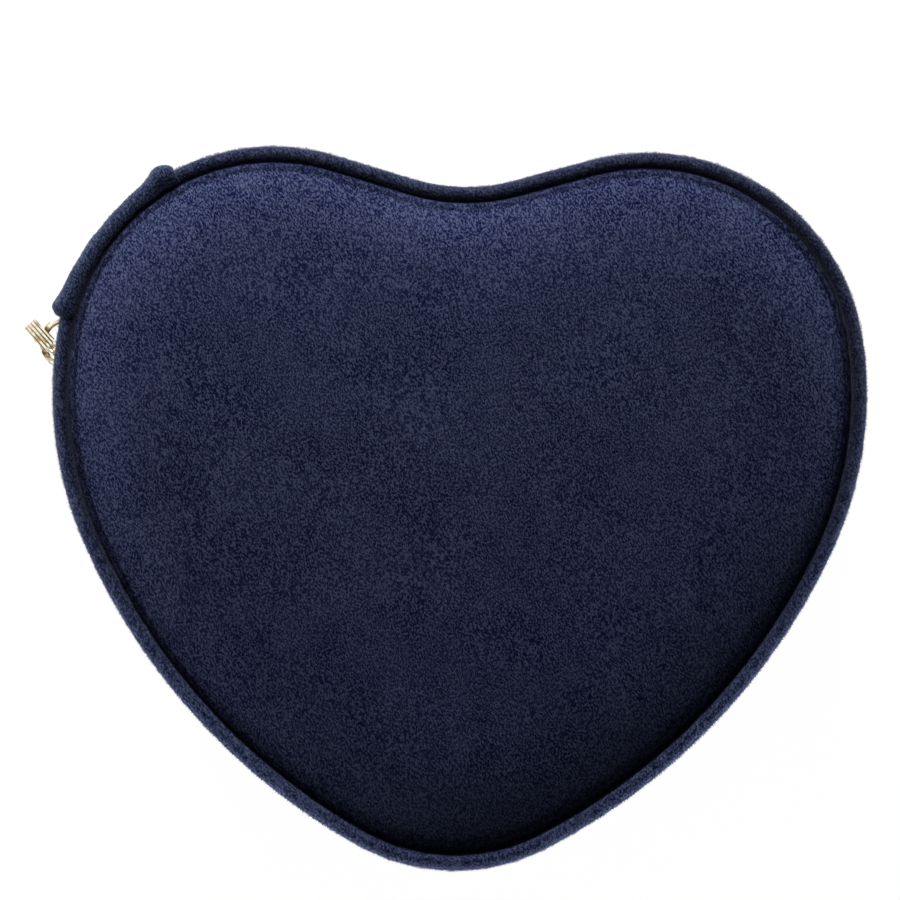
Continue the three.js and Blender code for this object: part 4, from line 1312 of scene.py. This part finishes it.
def tray_side(y):
    """Where the tray's right wall is at a height on the plan, and its outward normal"""
    low, high = rim_distance("tip", -89), rim_distance("lobe", 60)
    for _ in range(40):
        middle = (low + high) / 2
        if wall_point(middle, TRAY_IN, 0).y < y:
            low = middle
        else:
            high = middle
    return wall_point(low, TRAY_IN, 0), rim_at(low)[1]


def trim_to_tray(bm, y):
    """Cuts a bar along X off at both walls of the tray"""
    point, normal = tray_side(y)
    for side in (1, -1):
        bmesh.ops.bisect_plane(
            bm, geom=bm.verts[:] + bm.edges[:] + bm.faces[:], dist=1e-7,
            plane_co=(side * point.x, point.y, 0), plane_no=(side * normal.x, normal.y, 0), clear_outer=True)
        close_ends(bm)


def soft_bar(bm, corners, length, radius, steps):
    """A bar along X with a soft section of (y, z) corners"""
    section = soften(profile_mm(corners), radius * MM, steps)
    geom = draw_loop(bm, [(-length / 2, y, z) for y, z in section])
    parts = max(1, round(length / (5 * MM)))
    for _ in range(parts):
        geom = run_on(bm, geom, (length / parts, 0, 0))
    close_ends(bm)
    face_outwards(bm)


def round_bar_ends(bm, offset):
    """Rounds the rims of the flat ends of a bar"""
    rims = [
        edge for edge in bm.edges
        if len(edge.link_faces) == 2 and max(len(face.verts) for face in edge.link_faces) > 6
        and edge.calc_face_angle(0) > math.radians(35)
    ]
    ease(bm, rims, offset * MM, 3)
    face_outwards(bm)


def bar_across(corners, radius, steps, y, z, ends):
    """A bar from one wall of the tray to the other"""
    bm = bmesh.new()
    soft_bar(bm, corners, WIDTH, radius, steps)
    move(bm, (0, y, z))
    trim_to_tray(bm, y)
    round_bar_ends(bm, ends)
    return bm


class BOX_OT_dividers(bpy.types.Operator):
    """Three suede-covered dividers with rounded tops"""

    bl_idname = "jewellery_box.dividers"
    bl_label = "Dividers"

    def execute(self, context):
        half, top = DIVIDER / 2 / MM, DIVIDER_TOP_Z / MM
        corners = [(-half, TRAY_FLOOR_Z / MM), (half, TRAY_FLOOR_Z / MM), (half, top), (-half, top)]
        for name, y in (("lobe", LOBE_DIVIDER_Y), ("tip", TIP_DIVIDER_Y)):
            bm = bar_across(corners, 0.99, 4, y, 0, 0.35)
            finish_piece(f"suede_{name}_divider", bm, "suede", "base", [f"{name}_divider"])
        far = wall_point(rim_distance("notch", 90), TRAY_IN, 0).y
        near = LOBE_DIVIDER_Y + DIVIDER / 2 + FIT
        bm = bmesh.new()
        soft_bar(bm, corners, far - near, 0.99, 4)
        round_bar_ends(bm, 0.35)
        place_at(bm, Matrix.Translation((0, (far + near) / 2, 0)) @ Matrix.Rotation(math.pi / 2, 4, "Z"))
        finish_piece("suede_notch_divider", bm, "suede", "base", ["notch_divider"])
        return {"FINISHED"}


class BOX_OT_ring_rolls(bpy.types.Operator):
    """Four foam rolls in suede, pressed together so that rings are held between them"""

    bl_idname = "jewellery_box.ring_rolls"
    bl_label = "Ring Rolls"

    def execute(self, context):
        first = TIP_DIVIDER_Y + DIVIDER / 2 + FIT
        last = LOBE_DIVIDER_Y - DIVIDER / 2 - FIT
        pitch = (last - first + FIT) / ROLL_COUNT
        half = (pitch - FIT) / 2 / MM
        for number in range(ROLL_COUNT):
            y = first + half * MM + pitch * number
            corners = [(-half + 0.5, 0), (half - 0.5, 0), (half, 3), (half, ROLL_HIGH), (-half, ROLL_HIGH), (-half, 3)]
            bm = bar_across(corners, 4.7, 6, y, TRAY_FLOOR_Z, 1.3)
            for vert in bm.verts:
                lift = (vert.co.z - TRAY_FLOOR_Z) / (ROLL_HIGH * MM)
                vert.co.z += noise.noise(Vector((vert.co.x / (16 * MM), number * 7.3, 0))) * 0.35 * MM * lift
            roll = finish_piece(f"suede_ring_roll_{number + 1}", bm, "suede", "base", [f"ring_roll_{number + 1}"])
        return {"FINISHED"}


class BOX_OT_lid_lining(bpy.types.Operator):
    """The padded panel inside the lid and the bevelled mirror in its pocket"""

    bl_idname = "jewellery_box.lid_lining"
    bl_label = "Lid Lining and Mirror"

    def execute(self, context):
        pocket = [(PLATE_IN, 43.8), (20.05, 43.8), (20, 42.9), (19.7, 42.35), (18.6, 41.95), (16, 41.7), (12.5, 41.6)]
        edge = [(9, 41.75), (7.2, 42.1), (6.2, 42.6), (5.7, 43.2), (5.65, 44.1), (6.1, 44.55), (8, 44.6)]
        bm = bmesh.new()
        heart_plate(bm, profile_mm([*pocket, *edge, (PLATE_IN, 44.6)]), 0)
        panel = finish_piece("suede_lid_panel", bm, "suede", "lid", ["lid_lining_panel"], sharp=60)
        bm = bmesh.new()
        heart_plate(bm, profile_mm(((PLATE_IN, 42.2), (22.2, 42.2), (20.3, 42.75), (20.3, 43.5), (PLATE_IN, 43.5))), 0)
        finish_piece("heart_mirror", bm, "mirror", "lid", ["lid_mirror"], sharp=8)
        return {"FINISHED"}


class BOX_OT_boards(bpy.types.Operator):
    """Greyboard for the CAD boards that the cloth covers"""

    bl_idname = "jewellery_box.boards"
    bl_label = "Boards"

    def execute(self, context):
        for name in ("base_board", "base_wall_board", "lid_board", "lid_wall_board"):
            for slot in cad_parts[name].material_slots:
                slot.material = finish_material("greyboard")
        return {"FINISHED"}


# Stage


def area_lamp(name, place, aim, size, power):
    light = bpy.data.lights.new(name, "AREA")
    light.shape = "RECTANGLE"
    light.size, light.size_y = size
    light.energy = power
    lamp = bpy.data.objects.new(name, light)
    turn = (Vector(aim) - Vector(place)).to_track_quat("-Z", "Y").to_matrix().to_4x4()
    lamp.matrix_world = Matrix.Translation(place) @ turn
    bpy.context.scene.collection.objects.link(lamp)


def background_rays(tree, mirrored=1.0):
    """The rays that see the white background: the camera's, and those that metal and glass send on"""
    path = tree.nodes.new("ShaderNodeLightPath").outputs
    sent = calculate(tree, "MAXIMUM", times(tree, path["Is Glossy Ray"], mirrored), path["Is Transmission Ray"])
    return calculate(tree, "MAXIMUM", path["Is Camera Ray"], sent)


class BOX_OT_stage(bpy.types.Operator):
    """The white floor, the lamps and the camera of the photograph"""

    bl_idname = "jewellery_box.stage"
    bl_label = "Stage"

    def execute(self, context):
        settings = context.scene.stage_settings
        self.make_floor()
        area_lamp("key_lamp", (-0.06, 0.27, 0.145), (0, 0, 0.05), (0.3, 0.16), settings.key_power)
        for number, (x, y) in enumerate(((0.1, -0.6), (0.62, 0), (-0.62, -0.1))):
            area_lamp(f"low_lamp_{number + 1}", (x, y, 0.03), (0, 0, 0.02), (0.7, 0.04), settings.low_power)
        self.make_sky(settings)
        self.make_camera(settings)
        context.scene.view_settings.view_transform = "Standard"
        return {"FINISHED"}

    def make_floor(self):
        bm = bmesh.new()
        bmesh.ops.create_grid(bm, x_segments=2, y_segments=2, size=3, matrix=Matrix.Translation(mm(0, 0, -0.1)))
        mesh = bpy.data.meshes.new("floor")
        bm.to_mesh(mesh)
        bm.free()
        floor = bpy.data.objects.new("floor", mesh)
        bpy.context.scene.collection.objects.link(floor)
        material = bpy.data.materials.new("white_floor")
        material.use_nodes = True
        tree = material.node_tree
        tree.nodes.clear()
        matt = put(tree, "ShaderNodeBsdfDiffuse", {"Color": (0.82, 0.82, 0.82, 1)})
        glow = put(tree, "ShaderNodeEmission", {"Color": (1, 1, 1, 1), "Strength": 1.085})
        share = times(tree, background_rays(tree), 0.9)
        mix = put(tree, "ShaderNodeMixShader", {0: share, 1: matt.outputs[0], 2: glow.outputs[0]})
        put(tree, "ShaderNodeOutputMaterial", {"Surface": mix.outputs[0]})
        mesh.materials.append(material)

    def make_sky(self, settings):
        world = bpy.data.worlds.new("sky")
        bpy.context.scene.world = world
        world.use_nodes = True
        tree = world.node_tree
        tree.nodes.clear()
        soft = put(tree, "ShaderNodeBackground", {"Color": (0.93, 0.96, 1, 1), "Strength": settings.sky})
        white = put(tree, "ShaderNodeBackground", {"Color": (1, 1, 1, 1), "Strength": 1.0})
        way = tree.nodes.new("ShaderNodeTexCoord").outputs["Generated"]
        height = put(tree, "ShaderNodeSeparateXYZ", {"Vector": way}).outputs["Z"]
        seen = background_rays(tree, spread(tree, height, 0.45, 0.9, 0.1, 1.0))
        mix = put(tree, "ShaderNodeMixShader", {0: seen, 1: soft.outputs[0], 2: white.outputs[0]})
        put(tree, "ShaderNodeOutputWorld", {"Surface": mix.outputs[0]})

    def make_camera(self, settings):
        camera = bpy.data.cameras.new("camera")
        camera.sensor_width = 36
        camera.lens = camera.sensor_width * settings.camera_distance / settings.frame_width
        camera.clip_end = 20
        eye = bpy.data.objects.new("camera", camera)
        aim = Matrix.Translation(mm(-1.607, 10.946, 48.5))
        lean = Matrix.Rotation(settings.camera_tilt, 4, "X")
        roll = Matrix.Rotation(settings.camera_roll, 4, "Z")
        eye.matrix_world = aim @ roll @ lean @ Matrix.Translation((0, 0, settings.camera_distance))
        bpy.context.scene.collection.objects.link(eye)
        bpy.context.scene.camera = eye


OPERATORS = (
    BOX_OT_walls,
    BOX_OT_piping,
    BOX_OT_top_panel,
    BOX_OT_underside,
    BOX_OT_zip_tapes,
    BOX_OT_zip_teeth,
    BOX_OT_stitches,
    BOX_OT_hinge_strip,
    BOX_OT_slider,
    BOX_OT_pull,
    BOX_OT_linings,
    BOX_OT_floor,
    BOX_OT_dividers,
    BOX_OT_ring_rolls,
    BOX_OT_lid_lining,
    BOX_OT_boards,
    BOX_OT_stage,
)


class BOX_PT_panel(bpy.types.Panel):
    """Lists the pieces of the box, their sizes and their colours"""

    bl_label = "Jewellery Box"
    bl_idname = "BOX_PT_panel"
    bl_space_type = "VIEW_3D"
    bl_region_type = "UI"
    bl_category = "Jewellery Box"

    def draw(self, context):
        layout = self.layout
        for settings in ("case_sizes", "case_colours", "stage_settings"):
            group = getattr(context.scene, settings)
            column = layout.column(align=True)
            for key in group.__annotations__:
                column.prop(group, key)
        for operator in OPERATORS:
            layout.operator(operator.bl_idname)


SETTINGS = (("case_sizes", CaseSizes), ("case_colours", CaseColours), ("stage_settings", StageSettings))


def register():
    for name, group in SETTINGS:
        bpy.utils.register_class(group)
        setattr(bpy.types.Scene, name, PointerProperty(type=group))
    for cls in (*OPERATORS, BOX_PT_panel):
        bpy.utils.register_class(cls)


def unregister():
    for cls in (BOX_PT_panel, *reversed(OPERATORS)):
        bpy.utils.unregister_class(cls)
    for name, group in SETTINGS:
        delattr(bpy.types.Scene, name)
        bpy.utils.unregister_class(group)


def main():
    register()
    for operator in OPERATORS:
        package, name = operator.bl_idname.split(".")
        getattr(getattr(bpy.ops, package), name)()
    bpy.context.view_layer.update()


if __name__ == "__main__":
    main()
